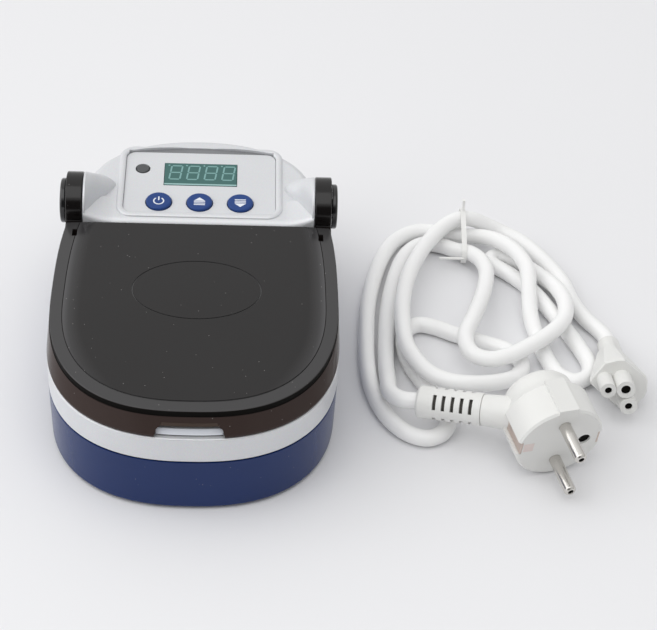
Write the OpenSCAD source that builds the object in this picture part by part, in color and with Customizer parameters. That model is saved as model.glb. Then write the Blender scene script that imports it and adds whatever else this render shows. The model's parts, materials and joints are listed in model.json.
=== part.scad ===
// Dental wax heater: a two-part moulded housing with a hinged smoked lid over a tray of wax wells,
// a sloping control panel, and a detachable mains lead lying beside it.
// Frame: millimetres, +Z up, front towards -Y, origin on the table under the middle of the unit.

/* [Housing] */
// Width of the housing at its widest line
body_w = 113; // [106:1:122]
// Length from the widest line to the front
front_len = 57; // [54:1:64]
// Length from the widest line to the back
rear_len = 113; // [110:1:120]
// Roundness of the front outline, 2 is an ellipse
front_exp = 2.4; // [2.2:0.1:2.8]
// Roundness of the rear outline, 2 is an ellipse
rear_exp = 3.1; // [3:0.1:3.5]
// Wall thickness of the mouldings
wall = 2.2; // [1.8:0.1:2.6]
// Thickness of the base floor
floor_t = 2.4; // [2:0.1:3]
// Height of the base moulding, without the feet
base_h = 23.5; // [22:0.5:27]
// Height of the band of the upper housing below the lid
band_h = 11.5; // [10:0.5:14]
// Rise of the deck above the ledge that the lid closes on
deck_rise = 2.5; // [2:0.1:3]
// Rounding of the bottom edge of the base
bottom_r = 2; // [2:0.5:3]

/* [Lid] */
// Height of the lid from its rim to its top
lid_h = 11.3; // [10.5:0.1:13]
// Step from the lid's border up to its raised middle
lid_step = 2.3; // [1.5:0.1:2.6]
// Width of the lid's border
lid_border = 5; // [4.5:0.5:6]
// Width of the finger notch at the front rim
notch_w = 26; // [22:1:30]
// Height of the finger notch
notch_h = 4.8; // [4.2:0.1:5.4]

/* [Hinge] */
// Radius of the lid's hinge eyes
eye_r = 12; // [11:0.5:12.5]
// Thickness of each hinge eye
eye_t = 6.7; // [6:0.1:7]
// Distance from the housing's side in to the hinge's inner face
hinge_inset = 9.3; // [8.9:0.1:10]
// Radius of the hinge pin
pin_r = 3; // [2.5:0.1:3.5]
// Radius of the pin's cap
cap_r = 9.2; // [8:0.2:10]
// Thickness of the pin's cap
cap_t = 2.2; // [1.8:0.1:2.8]
// Running clearance round the hinge pin
pin_clear = 0.05; // [0.02:0.01:0.08]

/* [Control panel] */
// Slope of the control panel in degrees
panel_tilt = 4; // [2:0.5:6]
// Width of the panel plate
plate_w = 62.6; // [60:0.2:66]
// Depth of the panel plate along the slope
plate_d = 38.9; // [38.2:0.1:39.4]
// Thickness of the panel plate
plate_t = 1; // [0.8:0.1:1.2]
// Width of the display window
display_w = 30.2; // [28:0.2:32]
// Depth of the display window along the slope
display_d = 14; // [12:0.2:15]
// Radius of a button
button_r = 5.3; // [4.5:0.1:5.6]
// Distance between the buttons
button_pitch = 16.8; // [16:0.2:17.6]
// Travel of a button
button_travel = 0.6; // [0.4:0.1:0.7]
// Radius of the status lamp
lamp_r = 2.9; // [2:0.1:3.2]

/* [Wax tray] */
// Half width of the tray's block
tray_hw = 43; // [41:0.5:44]
// Tray length in front of the widest line
tray_front = 43.5; // [42:0.5:45]
// Distance from the tray's block back to the raised rear part
tray_back_gap = 12.5; // [10.5:0.5:14]
// Depth of the wax wells
well_depth = 15; // [10:0.5:17]
// Radius of a round well
well_r = 11.5; // [10:0.5:12]
// Distance between the round wells
well_pitch = 27; // [26:0.5:28]
// Half width of the large front well
front_well_hw = 36; // [33:0.5:37]

/* [Feet and back] */
// Height of the rubber feet below the base
foot_h = 2; // [1.5:0.1:3]
// Radius of a rubber foot
foot_r = 6; // [5:0.5:7]
// Distance of the inlet and of the switch from the middle
socket_x = 13; // [12.5:0.1:13.5]
// Width of the inlet's flange
inlet_w = 22; // [21:0.2:23]
// Height of the inlet's flange
inlet_h = 16; // [15.5:0.1:16.4]
// Width of the rocker switch's frame
switch_w = 21; // [20:0.2:23]
// Height of the rocker switch's frame
switch_h = 15; // [14:0.2:16]

/* [Mains lead] */
// Radius of the cord
cord_r = 3.4; // [3:0.1:3.4]
// Radius of the plug's body
plug_r = 17.8; // [17.4:0.1:17.9]
// Length of the plug's body with its rounded back
plug_len = 27.5; // [26.5:0.5:28.5]
// Length of the plug's round front part
disc_len = 16.5; // [16:0.5:17.5]
// Radius of a plug pin
plug_pin_r = 2.4; // [2.2:0.05:2.4]
// Length of a plug pin outside the plug's face
plug_pin_len = 17; // [16.5:0.5:18]
// Distance of a plug pin from the middle of the face
plug_pin_z = 9.5; // [9:0.1:9.8]
// Length of the boot behind the plug
boot_len = 26; // [24:0.5:26]
// Radius of the boot
boot_r = 6.5; // [6:0.1:7]
// Length of the connector from its collar to its face
connector_len = 33; // [32:0.2:34]
// Length of the connector's contact tubes
tube_len = 10.4; // [9.6:0.2:11]

/* [Hidden] */
$fn = 48;

// Points round an outline and the clearances between pieces
sides = 64;
slip = 0.2;
gap = 0.3;
eps = 0.1;

// Levels
wide_y = (front_len - rear_len) / 2;
back_end = wide_y + rear_len;
floor_z = foot_h + floor_t;
seam_z = foot_h + base_h;
ledge_z = seam_z + band_h;
deck_z = ledge_z + deck_rise;
lid_z = ledge_z + gap;
lid_top = lid_z + lid_h;
border_z = lid_top - lid_step;

// The lid's skirt stands round the deck
arm_gap = 1.2;
deck_inset = wall + arm_gap;

// Two small slots in the lid's border in front of the hinge eyes
slot_w = 2;
slot_len = 4.5;
slot_x = body_w / 2 - 6.7;
slot_back = 8.9;

// Hinge line and the front of the raised rear part
axis_z = ledge_z + gap + eye_r + 0.2;
hinge_back = 42;
axis_y = back_end - hinge_back;
hinge_x = body_w / 2 - hinge_inset;
dome_r = eye_r - 0.2;
lid_back = axis_y - eye_r - 1.1;
hump_front = lid_back + 0.6;
eye_x = hinge_x + gap;
cap_x = eye_x + eye_t + gap;
dome_w = 12.5;
// Rings of the dome: share of its width, how far its middle moves back, and its radius
dome_rings = [
  [0, 0, dome_r], [0.1, 1, dome_r * 0.945], [0.2, 2.3, dome_r * 0.864], [0.33, 4.4, dome_r * 0.737],
  [0.47, 6.5, dome_r * 0.602], [0.65, 8.2, dome_r * 0.458], [0.85, 9.5, dome_r * 0.28],
  [0.95, 10.2, dome_r * 0.14], [1, 10.5, dome_r * 0.04]
];
ramp_w = 9.6;
ramp_rise = 3.4;
pin_in = 4;

// The raised rear part carries the control panel
hump_mid = back_end - 35;
hump_exp_front = 14;
hump_exp_rear = 2.2;
hump_margin = 0.4;
hump_rear = back_end - hump_margin;
hump_edge = 3.6;
face_z = lid_top + gap;

// Places along the panel's slope, from its front edge, and the recess round the plate
display_v = 30.9;
button_v = 12.9;
lamp_x = -24.3;
lamp_v = 34.1;
plate_v = display_v - 5.5;
bead_w = 2.9;
bead_h = 0.8;
recess = 0.4;
crescent_rise = 3;
crescent_w = 54;
backing_t = 3;

// Heater stack under the tray
seal_t = 0.6;
flange_t = 1.4;
flange_w = 3;
tray_top = deck_z + seal_t + flange_t;
tray_floor_t = 2.5;
tray_z = tray_top - well_depth - tray_floor_t;
heater_t = 1.6;
pad_t = 5;
clamp_t = 1.2;
clamp_z = tray_z - heater_t - pad_t - clamp_t;
web_y = wide_y + 3.5;
tray_rear = hump_front - wide_y - tray_back_gap;
round_y = wide_y + 21;

// Fixings
screw_r = 1.5;
screw_head_r = 3;
screw_head_t = 2.2;
boss_r = 4.2;
post_r = 3.6;
boss_top = seam_z - 4;
post_inset = 7;
post_front = 28;
post_rear = rear_len - 29;
front_post_x = (body_w / 2 - post_inset)
  * pow(1 - pow(post_front / (front_len - post_inset), front_exp), 1 / front_exp);
rear_post_x = (body_w / 2 - post_inset)
  * pow(1 - pow(post_rear / (rear_len - post_inset), rear_exp), 1 / rear_exp);
case_points = [
  for (side = [1, -1]) each
    [[side * front_post_x, wide_y - post_front], [side * rear_post_x, wide_y + post_rear]]
];
foot_points = [
  for (side = [1, -1]) each [[side * 34, wide_y - 18], [side * 30, back_end - 39]]
];
clamp_points = [[27, web_y + 1.5], [-27, web_y + 1.5]];
ear_x = tray_hw + 4;
ear_y = wide_y + 6;

// Power board in the rear of the base
board_t = 1.6;
board_post_r = 2.6;
power_w = 64;
power_d = 34;
power_y = back_end - hinge_back;
power_z = floor_z + 3.6;
ribbon_w = 8;
ribbon_y = 2;
transformer_x = -15;
core_w = 26;
core_d = 18;
core_h = 20;
coil_w = 18;
coil_d = 24;
coil_h = 13;
coil_lift = 3;
relay_x = 7;
relay_w = 19;
relay_d = 15.5;
relay_h = 15;
fuse_x = 6;
fuse_r = 2.6;
fuse_len = 20;
clamp_w = 4;
power_points = [
  for (x = [-1, 1], y = [-1, 1]) [x * (power_w / 2 - 4), power_y + y * (power_d / 2 - 4)]
];

// Control board under the panel
control_w = 60;
control_d = 36;
control_v = 24;
control_drop = 10.5;
control_points = [
  for (x = [-1, 1], v = [-1, 1]) [x * (control_w / 2 - 3), control_v + v * (control_d / 2 - 3)]
];
key_h = 4.2;

// Flat window in the back wall for the inlet and the switch
back_y = back_end - 3;
window_w = 50;
window_h = 17;
window_z = floor_z + 9.1;
window_wall = 2.6;
inlet_depth = 16;
switch_depth = 14;
rocker_y = -2;
rocker_turn = 10;
rocker_pin_r = 1;
lead_points = [[-3.7, 1.2], [3.7, 1.2], [0, -1.6]];
inlet_pin_r = 1.15;

// Plug: middle of its face, its tip and turn, and the places of its contacts
plug_face = [141.6, -63, 18.1];
plug_tip = 6.5;
plug_roll = 2.8;
plug_turn = 16.5;
rib_h = 0.9;
clip_w = 6;
clip_t = 0.8;
earth_x = 10.2;

// Boot: end where the cord leaves it, and its direction
boot_end = [88.5, -37.5, 15];
boot_tip = 97;
boot_turn = 163;
neck_len = 16;
slot_deep = 2.2;

// Connector: middle of its collar's end, its tip, the outline of its face and its three contacts
connector_end = [171.8, 10.25, 4.9];
connector_tip = -15;
collar_r = 4.6;
connector_corners = [
  [0.4, 9.9], [-2.4, 9.9], [-7.6, 8.3], [-12.6, 0.9], [-12.9, -0.6], [-12.2, -2], [0.4, -12.5],
  [2.4, -13.1], [4.6, -12.7], [7.8, -11], [10.6, -7], [11.2, -4.6], [10.9, 0.2], [9.9, 2.4]
];
contacts = [[-7, 1, 3.2, 1.45], [0, 1.5, 3.75, 1.95], [1.8, -5.9, 3.5, 1.5]];

// Tie round the three strands at the top of the coil
tie_x = 115.3;
tie_w = 2.2;
tie_strands = [[70, 5.8], [83.2, 5], [85.8, 12.3]];
tie_room = 0.9;
tie_t = 0.4;

// Route of the cord from the boot to the connector: up the left side, through the tie, round the right loop
// and the fold beside the connector, through the tie, down the outer left side, under the boot, along the
// bottom, up the inner left side, through the tie and down the outer right side
route = [
  [88.2, -37.4, 15], [82, -35.5, 14.2], [78, -29, 12], [77.8, -18, 8.6], [78, -5, 4.8], [78.6, 11, 3.6],
  [80, 29, 3.6], [82.8, 47, 3.6], [87, 63, 3.6], [92, 73, 3.6], [98.5, 78, 3.6], [105.5, 76.8, 4],
  [112, 72.6, 5], [118.5, 68.4, 6.6], [122.8, 60.9, 7.6], [123.8, 52, 7.6], [121, 38, 8], [115.5, 20, 11],
  [111, 7, 11.6], [112.5, -3.5, 11.6], [119.5, -7.5, 11.6], [128, -5, 11.6], [138, 2, 11.6], [147, 10, 11.6],
  [153.5, 19.5, 11.2], [155.3, 31, 10.4], [153.2, 43, 8.6], [148.5, 54.5, 5.2], [143.6, 62.4, 3.8],
  [138.9, 66.9, 3.6], [133.8, 69.8, 3.6], [129.9, 70.5, 3.6], [127.4, 68.3, 3.6], [128.3, 64.4, 3.6],
  [134.6, 58.2, 3.6], [140.6, 51.2, 3.6],
  [145.8, 43, 3.6], [150.5, 32.5, 3.6], [155.5, 21, 3.6], [160, 9, 3.6], [162.6, -1, 3.6], [161, -8, 3.6],
  [155.6, -11.2, 3.6], [150, -8.4, 3.6], [146.6, -1.8, 3.6], [144.2, 7, 3.6], [142.5, 17, 3.6], [141, 28, 5],
  [141, 40, 9], [141, 51, 12.2], [137.3, 61.5, 12.8], [131, 71, 11.5], [124.8, 78.5, 8], [118.5, 82.2, 5.4],
  [112, 84, 4.8], [105, 86.5, 3.8], [96, 87, 3.6], [88, 82, 3.6], [81.8, 73, 3.6], [76.4, 57, 3.6],
  [72.4, 37, 3.6], [70.6, 14, 3.6], [70.4, -5, 3.6], [72.2, -20, 3.6], [77, -34, 3.6], [84.5, -43.5, 3.6],
  [93, -46.5, 3.6], [99.8, -42, 3.6], [101.5, -33, 3.6], [97, -22, 3.6], [91.5, -11, 3.6], [87.2, 0, 3.6],
  [86, 10.5, 3.6], [87.6, 18.5, 3.6], [93, 22.6, 3.6], [100, 21, 3.6], [108.5, 16.6, 3.6], [119, 12, 3.6],
  [129.5, 7, 3.6], [134.5, -1.5, 3.6], [130.5, -10.5, 4.5], [121, -17.8, 8], [110.5, -22, 11], [101, -21.4, 12],
  [93, -15.2, 12], [86.6, -1, 11.5], [85.4, 14, 11.2], [86.1, 29, 11.1], [89.3, 46, 11.1], [95.3, 62, 11.1],
  [102.6, 75, 11.5], [108.5, 82, 12], [113.5, 85.2, 12.4], [119.5, 86.6, 11.7], [126.5, 87.6, 7.8],
  [134, 86.8, 4.4], [142.5, 81, 3.6], [150, 69.5, 3.6], [157, 54.5, 3.6], [160.2, 40, 3.6], [164.2, 29.5, 3.6],
  [168.9, 22, 3.7], [171.4, 16.8, 3.9], [171.8, 10.45, 4.9]
];
route_steps = 3;
cord_sides = 8;

// A number with its sign kept and its size raised to a power
function spow(v, p) = sign(v) * pow(abs(v), p);

// A rounded outline whose front and rear halves are two superellipses of one width
function egg(hw, front, rear, nf, nr, cy) = [
  for (i = [0:sides - 1])
    let (t = 360 * i / sides, fore = sin(t) < 0, n = fore ? nf : nr)
    [hw * spow(cos(t), 2 / n), cy + (fore ? front : rear) * spow(sin(t), 2 / n)]
];

// The housing's outline drawn in by an inset
function body_line(inset) =
  egg(body_w / 2 - inset, front_len - inset, rear_len - inset, front_exp, rear_exp, wide_y);

// The raised rear part's outline drawn in by an inset
function hump_line(inset) =
  egg(hinge_x - inset, hump_mid - hump_front - inset, hump_rear - hump_mid - inset,
      hump_exp_front, hump_exp_rear, hump_mid);

// The tray's outline grown by a margin
function tray_line(grow) =
  egg(tray_hw + grow, tray_front + grow, tray_rear + grow, front_exp, 4, wide_y);

// Outlines lifted to a level or to the sloping face
function level(line, z) = [for (p = line) [p[0], p[1], z]];
function slope_z(y) = face_z + (y - hump_front) * tan(panel_tilt);
function sloped(line, drop) = [for (p = line) [p[0], p[1], slope_z(p[1]) - drop]];

// A closed solid through rings that all have the same number of points
module loft(rings) {
  n = len(rings[0]);
  last = (len(rings) - 1) * n;
  walls = [
    for (k = [0:len(rings) - 2], i = [0:n - 1], half = [0, 1])
      let (j = (i + 1) % n, a = k * n, b = a + n)
      half == 0 ? [a + i, b + i, b + j] : [a + i, b + j, a + j]
  ];
  caps = [[for (i = [0:n - 1]) i], [for (i = [n - 1:-1:0]) last + i]];
  polyhedron([for (r = rings) each r], concat(walls, caps));
}

// A prism of an outline between two levels
module prism(line, z0, z1) {
  translate([0, 0, z0]) linear_extrude(z1 - z0) polygon(line);
}

// Children placed on the sloping face, with v up the slope and z along its normal
module on_face(x, v, lift) {
  translate([0, hump_front, face_z]) rotate([panel_tilt, 0, 0]) translate([x, v, lift]) children();
}

// A cylinder along +X from x0 to x1 on the hinge line
module hinge_rod(r, x0, x1) {
  translate([x0, axis_y, axis_z]) rotate([0, 90, 0]) cylinder(r = r, h = x1 - x0);
}

// A flat plate with round corners, centred on the origin and standing on z = 0
module rounded_plate(w, d, t, r) {
  linear_extrude(t) union() {
    square([w - 2 * r, d], center = true);
    square([w, d - 2 * r], center = true);
    for (x = [-1, 1], y = [-1, 1]) translate([x * (w / 2 - r), y * (d / 2 - r)]) circle(r);
  }
}

// A screw pointing up, with the underside of its head on z = 0
module screw(r, head_r, head_t, length) {
  cylinder(r = r, h = length);
  translate([0, 0, -head_t]) cylinder(r = head_r, h = head_t);
}

// Blue lower tub with screw bosses, board posts, air slots and a flat window in the back wall
module base_shell() color([0.17, 0.22, 0.42]) {
  difference() {
    union() {
      difference() {
        loft([
          level(body_line(bottom_r), foot_h),
          level(body_line(bottom_r * 0.3 + 0.4), foot_h + bottom_r * 0.3),
          level(body_line(0.6), foot_h + bottom_r),
          level(body_line(0), seam_z)
        ]);
        loft([
          level(body_line(wall + bottom_r), floor_z),
          level(body_line(wall + 0.6), floor_z + bottom_r),
          level(body_line(wall), seam_z + 1)
        ]);
      }
      for (p = case_points) translate([p[0], p[1], floor_z - eps])
        cylinder(r = boss_r, h = boss_top - floor_z + eps);
      for (p = power_points) translate([p[0], p[1], floor_z - eps])
        cylinder(r = board_post_r, h = power_z - floor_z + eps);
      intersection() {
        translate([-window_w / 2 - 2, back_y - window_wall, floor_z - eps])
          cube([window_w + 4, window_wall, boss_top + 1 - floor_z]);
        prism(body_line(1), floor_z - 1, seam_z);
      }
    }
    for (p = case_points) translate([p[0], p[1], foot_h - 1]) {
      cylinder(r = screw_r + slip, h = seam_z);
      cylinder(r = screw_head_r + slip, h = 1 + floor_t + screw_head_t);
    }
    for (p = foot_points) translate([p[0], p[1], foot_h - eps]) cylinder(r = foot_r, h = 0.6 + eps);
    for (p = power_points) translate([p[0], p[1], floor_z + 0.6]) cylinder(r = 1.1, h = power_z);
    for (i = [-4:4]) translate([i * 6 - 1, power_y - 12, foot_h - 1]) cube([2, 24, floor_t + 2]);
    translate([-window_w / 2, back_y, window_z - window_h / 2]) cube([window_w, 10, window_h]);
    translate([socket_x - inlet_w / 2 + 2.2, back_y - 10, window_z - inlet_h / 2 + 1.8])
      cube([inlet_w - 4.4, 20, inlet_h - 3.6]);
    translate([-socket_x - switch_w / 2 + 1.2, back_y - 10, window_z - switch_h / 2 + 1])
      cube([switch_w - 2.4, 20, switch_h - 2]);
  }
}

// Four rubber feet set into the floor of the base
module rubber_feet() color([0.1, 0.1, 0.11]) {
  for (p = foot_points) translate([p[0], p[1], 0]) {
    cylinder(r = foot_r - 1, h = 1);
    translate([0, 0, 0.6]) cylinder(r = foot_r - slip, h = foot_h);
  }
}

// Four screws that hold the two housing halves together from below
module case_screws() color([0.7, 0.7, 0.72]) {
  for (p = case_points) translate([p[0], p[1], floor_z + screw_head_t])
    screw(screw_r, screw_head_r, screw_head_t, boss_top - floor_z + 4);
}

// Dome beside the hinge: round at the hinge eye, drawn back to a blunt point on the panel
module hinge_dome(side) {
  loft([
    for (d = dome_rings) [
      for (k = [0:31]) let (a = side * 360 * (k + 0.5) / 32)
        [side * (hinge_x - dome_w * d[0]), axis_y + d[1] + d[2] * sin(a), axis_z + d[2] * cos(a)]
    ]
  ]);
}

// Ramp in front of a dome, rising to the hinge eye
module hinge_ramp(side) {
  inner = side * (hinge_x - ramp_w);
  outer = side * (hinge_x - gap);
  front = hump_front + 0.4;
  low = [[inner, front], [outer, front], [outer, axis_y]];
  corners = side > 0 ? low : [low[0], low[2], low[1]];
  lift = side > 0 ? [-0.3, ramp_rise, ramp_rise + 1.2] : [-0.3, ramp_rise + 1.2, ramp_rise];
  loft([
    level(corners, ledge_z),
    [for (i = [0:2]) [corners[i][0], corners[i][1], slope_z(front) + lift[i]]]
  ]);
}

// Rings of the raised rear part, rounded into its sloping face
function hump_rings(inset, z0, drop, edge) = concat(
  [level(hump_line(inset), z0)],
  [for (a = [0:30:90]) sloped(hump_line(inset + edge * (1 - cos(a))), drop + edge * (1 - sin(a)))]
);

// Recess of the control panel: the plate's place with a bowed rear edge
module plate_recess() {
  bow_r = (crescent_w * crescent_w / 4 + crescent_rise * crescent_rise) / (2 * crescent_rise);
  on_face(0, plate_v, -recess - plate_t) rounded_plate(plate_w + 2 * slip, plate_d + 2 * slip, 10, 4);
  on_face(0, plate_v + plate_d / 2 + crescent_rise - bow_r, -recess - plate_t - 1) intersection() {
    cylinder(r = bow_r, h = 12, $fn = 180);
    translate([-crescent_w / 2, bow_r - crescent_rise - 4, 0]) cube([crescent_w, crescent_rise + 8, 12]);
  }
}

// Silver upper housing: band, ledge and deck in front, raised control housing with hinge domes behind
module top_housing() color([0.78, 0.79, 0.81]) {
  difference() {
    union() {
      difference() {
        union() {
          loft([
            level(body_line(0), seam_z),
            level(body_line(0), ledge_z - 0.8),
            level(body_line(0.25), ledge_z - 0.25),
            level(body_line(0.8), ledge_z)
          ]);
          loft([
            level(body_line(deck_inset), ledge_z - 1),
            level(body_line(deck_inset + 0.15), deck_z - 0.6),
            level(body_line(deck_inset + 0.75), deck_z)
          ]);
          loft(hump_rings(0, ledge_z - 1, 0, hump_edge));
          intersection() {
            on_face(0, plate_v, -3)
              rounded_plate(plate_w + 2 * bead_w, plate_d + 2 * bead_w, 3 + bead_h, 5);
            prism(hump_line(hump_margin), ledge_z, 2 * face_z);
          }
        }
        loft([
          level(body_line(wall), seam_z - 1),
          level(body_line(wall), ledge_z - wall)
        ]);
        loft([
          level(body_line(deck_inset + wall), ledge_z - wall - eps),
          level(body_line(deck_inset + wall), deck_z - wall)
        ]);
        loft(hump_rings(wall, ledge_z - wall - eps, wall, hump_edge));
      }
      difference() {
        prism(body_line(wall + 0.15), seam_z - 2.5, seam_z + 2);
        prism(body_line(wall + 1.5), seam_z - 3, seam_z + 3);
      }
      intersection() {
        on_face(0, plate_v + 2, -recess - plate_t - backing_t)
          rounded_plate(plate_w + 2, plate_d + 8, backing_t - eps, 5);
        prism(hump_line(wall / 2), ledge_z, 2 * face_z);
      }
      for (side = [-1, 1]) {
        hinge_dome(side);
        hinge_ramp(side);
      }
      for (p = case_points) translate([p[0], p[1], boss_top])
        cylinder(r = post_r, h = ledge_z - wall - boss_top + eps);
      for (side = [-1, 1]) translate([side * ear_x, ear_y, clamp_z + clamp_t])
        cylinder(r = 2.8, h = deck_z - wall - clamp_z - clamp_t + eps);
      for (p = control_points) on_face(p[0], p[1], -control_drop)
        cylinder(r = 2.4, h = control_drop - wall + eps);
    }
    prism(tray_line(slip), clamp_z, deck_z + 5);
    plate_recess();
    on_face(0, display_v, -6) translate([-display_w / 2 - slip, -display_d / 2 - slip, 0])
      cube([display_w + 2 * slip, display_d + 2 * slip, 10]);
    for (i = [-1:1]) on_face(i * button_pitch, button_v, -6) cylinder(r = button_r + 1.6, h = 10);
    on_face(lamp_x, lamp_v, -6) cylinder(r = lamp_r + slip, h = 10);
    for (side = [-1, 1]) {
      middle = side * (hinge_x - pin_in / 2);
      eye_middle = side * (eye_x + eye_t / 2);
      hinge_rod(pin_r + pin_clear, middle - pin_in / 2 - eps, middle + pin_in / 2 + eps);
      hinge_rod(eye_r + gap, eye_middle - eye_t / 2 - gap, eye_middle + eye_t / 2 + gap);
    }
    for (p = case_points) translate([p[0], p[1], boss_top - 1]) cylinder(r = screw_r + 0.05, h = 8);
    for (side = [-1, 1]) translate([side * ear_x, ear_y, clamp_z]) cylinder(r = 1.25, h = clamp_t + 7);
    for (p = control_points) on_face(p[0], p[1], -control_drop - 1) cylinder(r = 1.05, h = 6);
  }
}

// Smoked lid with a raised middle, a finger notch in front and two hinge eyes at the back
module lid() color([0.24, 0.2, 0.19]) {
  shoulder = 2.4;
  crown = 1.1;
  crown_run = 5;
  side_run = 26;
  difference() {
    union() {
      difference() {
        loft(concat(
          [level(body_line(0.2), lid_z)],
          [for (a = [0:30:90])
            level(body_line(shoulder * (1 - cos(a))), border_z - shoulder * (1 - sin(a)))],
          [level(body_line(lid_border), border_z)],
          [for (a = [0:30:90])
            level(body_line(lid_border + 0.3 + crown_run * (1 - cos(a))), lid_top - crown * (1 - sin(a)))]
        ));
        loft([
          level(body_line(wall), lid_z - 1),
          level(body_line(wall), border_z - wall - 1),
          level(body_line(wall + 1), border_z - wall),
          level(body_line(lid_border + wall), border_z - wall + 0.1),
          level(body_line(lid_border + wall + 1), lid_top - wall)
        ]);
        translate([-body_w, lid_back, 0]) cube([2 * body_w, 2 * rear_len, 2 * lid_top]);
      }
      for (side = [-1, 1]) {
        translate([side * (eye_x + eye_t / 2) - eye_t / 2, axis_y - side_run, lid_z])
          cube([eye_t, side_run, border_z - lid_z]);
        hinge_rod(eye_r, side * (eye_x + eye_t / 2) - eye_t / 2, side * (eye_x + eye_t / 2) + eye_t / 2);
      }
    }
    prism(body_line(deck_inset - arm_gap), lid_z - 1, deck_z + gap);
    for (side = [-1, 1])
      hinge_rod(pin_r + pin_clear, side * (eye_x + eye_t / 2) - eye_t, side * (eye_x + eye_t / 2) + eye_t);
    translate([0, -front_len, lid_z]) rotate([90, 0, 0]) linear_extrude(front_len) polygon([
      [-notch_w / 2, -1], [notch_w / 2, -1], [notch_w / 2, 1], [notch_w / 2 - 2.2, notch_h],
      [2.2 - notch_w / 2, notch_h], [-notch_w / 2, 1]
    ]);
    for (side = [-1, 1]) translate([side * slot_x - slot_w / 2, lid_back - slot_back, border_z - 4])
      cube([slot_w, slot_len, 10]);
  }
}

// Hinge pin with its round cap, pressed into the dome
module hinge_pin(side) color([0.06, 0.06, 0.06]) {
  hinge_rod(pin_r, side * (hinge_x - pin_in + cap_x) / 2 - (cap_x - hinge_x + pin_in) / 2,
            side * (hinge_x - pin_in + cap_x) / 2 + (cap_x - hinge_x + pin_in) / 2);
  translate([side * cap_x, axis_y, axis_z]) rotate([0, side * 90, 0]) {
    cylinder(r = cap_r, h = cap_t - 0.5);
    translate([0, 0, cap_t - 0.5]) cylinder(r1 = cap_r, r2 = cap_r - 0.5, h = 0.5);
  }
}

module hinge_pin_left() { hinge_pin(-1); }
module hinge_pin_right() { hinge_pin(1); }

// Plate of the control panel with its display window, button holes and lamp hole
module panel_plate() color([0.83, 0.84, 0.86]) {
  difference() {
    on_face(0, plate_v, -recess - plate_t) rounded_plate(plate_w, plate_d, plate_t, 4);
    on_face(0, display_v, -6) translate([-display_w / 2 - slip, -display_d / 2 - slip, 0])
      cube([display_w + 2 * slip, display_d + 2 * slip, 10]);
    for (i = [-1:1]) on_face(i * button_pitch, button_v, -6) cylinder(r = button_r + gap, h = 10);
    on_face(lamp_x, lamp_v, -6) cylinder(r = lamp_r + slip, h = 10);
  }
}

// Tinted window in front of the digits
module display_window() color([0.33, 0.45, 0.45]) {
  on_face(0, display_v, -recess - plate_t) translate([-display_w / 2, -display_d / 2, 0])
    cube([display_w, display_d, plate_t + 0.2]);
}

// Four-digit display block soldered to the control board
module display_module() color([0.85, 0.85, 0.83]) {
  depth = control_drop - board_t - recess - plate_t;
  on_face(0, display_v, -control_drop + board_t) translate([-display_w / 2 + 0.2, -display_d / 2 + 0.2, 0])
    cube([display_w - 0.4, display_d - 0.4, depth]);
}

// Push button: domed cap, retaining flange under the plate, stem above its key switch
module push_button(i) color([0.17, 0.29, 0.53]) {
  under = -recess - plate_t;
  flange = 1;
  stem_end = -control_drop + board_t + key_h + button_travel + gap;
  on_face(i * button_pitch, button_v, 0) {
    translate([0, 0, under - gap - flange]) cylinder(r = button_r + 1.2, h = flange);
    translate([0, 0, under - gap - eps]) cylinder(r = button_r, h = plate_t + gap + eps + 0.7);
    translate([0, 0, under + plate_t + 0.7]) cylinder(r1 = button_r, r2 = button_r - 0.5, h = 0.4);
    translate([0, 0, stem_end]) cylinder(r = 1.8, h = under - gap - stem_end);
  }
}

module button_set() { push_button(-1); }
module button_up() { push_button(0); }
module button_down() { push_button(1); }

// Status lamp beside the display
module status_lamp() color([0.3, 0.31, 0.32]) {
  on_face(lamp_x, lamp_v, 0) {
    translate([0, 0, -control_drop + board_t])
      cylinder(r = lamp_r - 0.4, h = control_drop - board_t - recess - 0.2);
    translate([0, 0, -recess - 1]) cylinder(r1 = lamp_r, r2 = lamp_r - 0.4, h = 1.3);
  }
}

// Control board hung under the panel
module control_board() color([0.1, 0.32, 0.18]) {
  difference() {
    on_face(0, control_v, -control_drop) translate([-control_w / 2, -control_d / 2, 0])
      cube([control_w, control_d, board_t]);
    for (p = control_points) on_face(p[0], p[1], -control_drop - 5) cylinder(r = 2.4 + slip, h = 12);
  }
}

// Key switches under the three buttons
module key_switches() color([0.12, 0.12, 0.12]) {
  for (i = [-1:1]) on_face(i * button_pitch, button_v, -control_drop + board_t) {
    translate([-3, -3, 0]) cube([6, 6, 3.4]);
    cylinder(r = 1.7, h = key_h);
  }
}

// Screws with washers that hold the control board on its posts
module control_screws() color([0.72, 0.72, 0.74]) {
  for (p = control_points) on_face(p[0], p[1], -control_drop) screw(1, 3.2, 1.2, 4.5);
}

// Shape of the large front well
function front_well_line() = egg(front_well_hw, tray_front - 7.5, 1.5, front_exp, 8, wide_y - 2);

// Aluminium tray with one large and three round wax wells, hung in the deck by its flange
module wax_tray() color([0.3, 0.3, 0.31]) {
  difference() {
    union() {
      prism(tray_line(0), tray_z, tray_top);
      prism(tray_line(flange_w), tray_top - flange_t, tray_top);
    }
    prism(front_well_line(), tray_top - well_depth, tray_top + 5);
    for (i = [-1:1]) translate([i * well_pitch, round_y, tray_top - well_depth])
      cylinder(r = well_r, h = well_depth + 5);
    for (p = clamp_points) translate([p[0], p[1], tray_z - 1]) cylinder(r = 1.25, h = 9);
    translate([0, web_y, tray_z - 1]) cylinder(r = 1.6, h = 11);
  }
}

// Heat-proof seal between the tray's flange and the deck
module tray_seal() color([0.55, 0.2, 0.16]) {
  difference() {
    prism(tray_line(flange_w - 0.4), deck_z, deck_z + seal_t);
    prism(tray_line(slip), deck_z - 1, deck_z + 2);
  }
}

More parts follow.
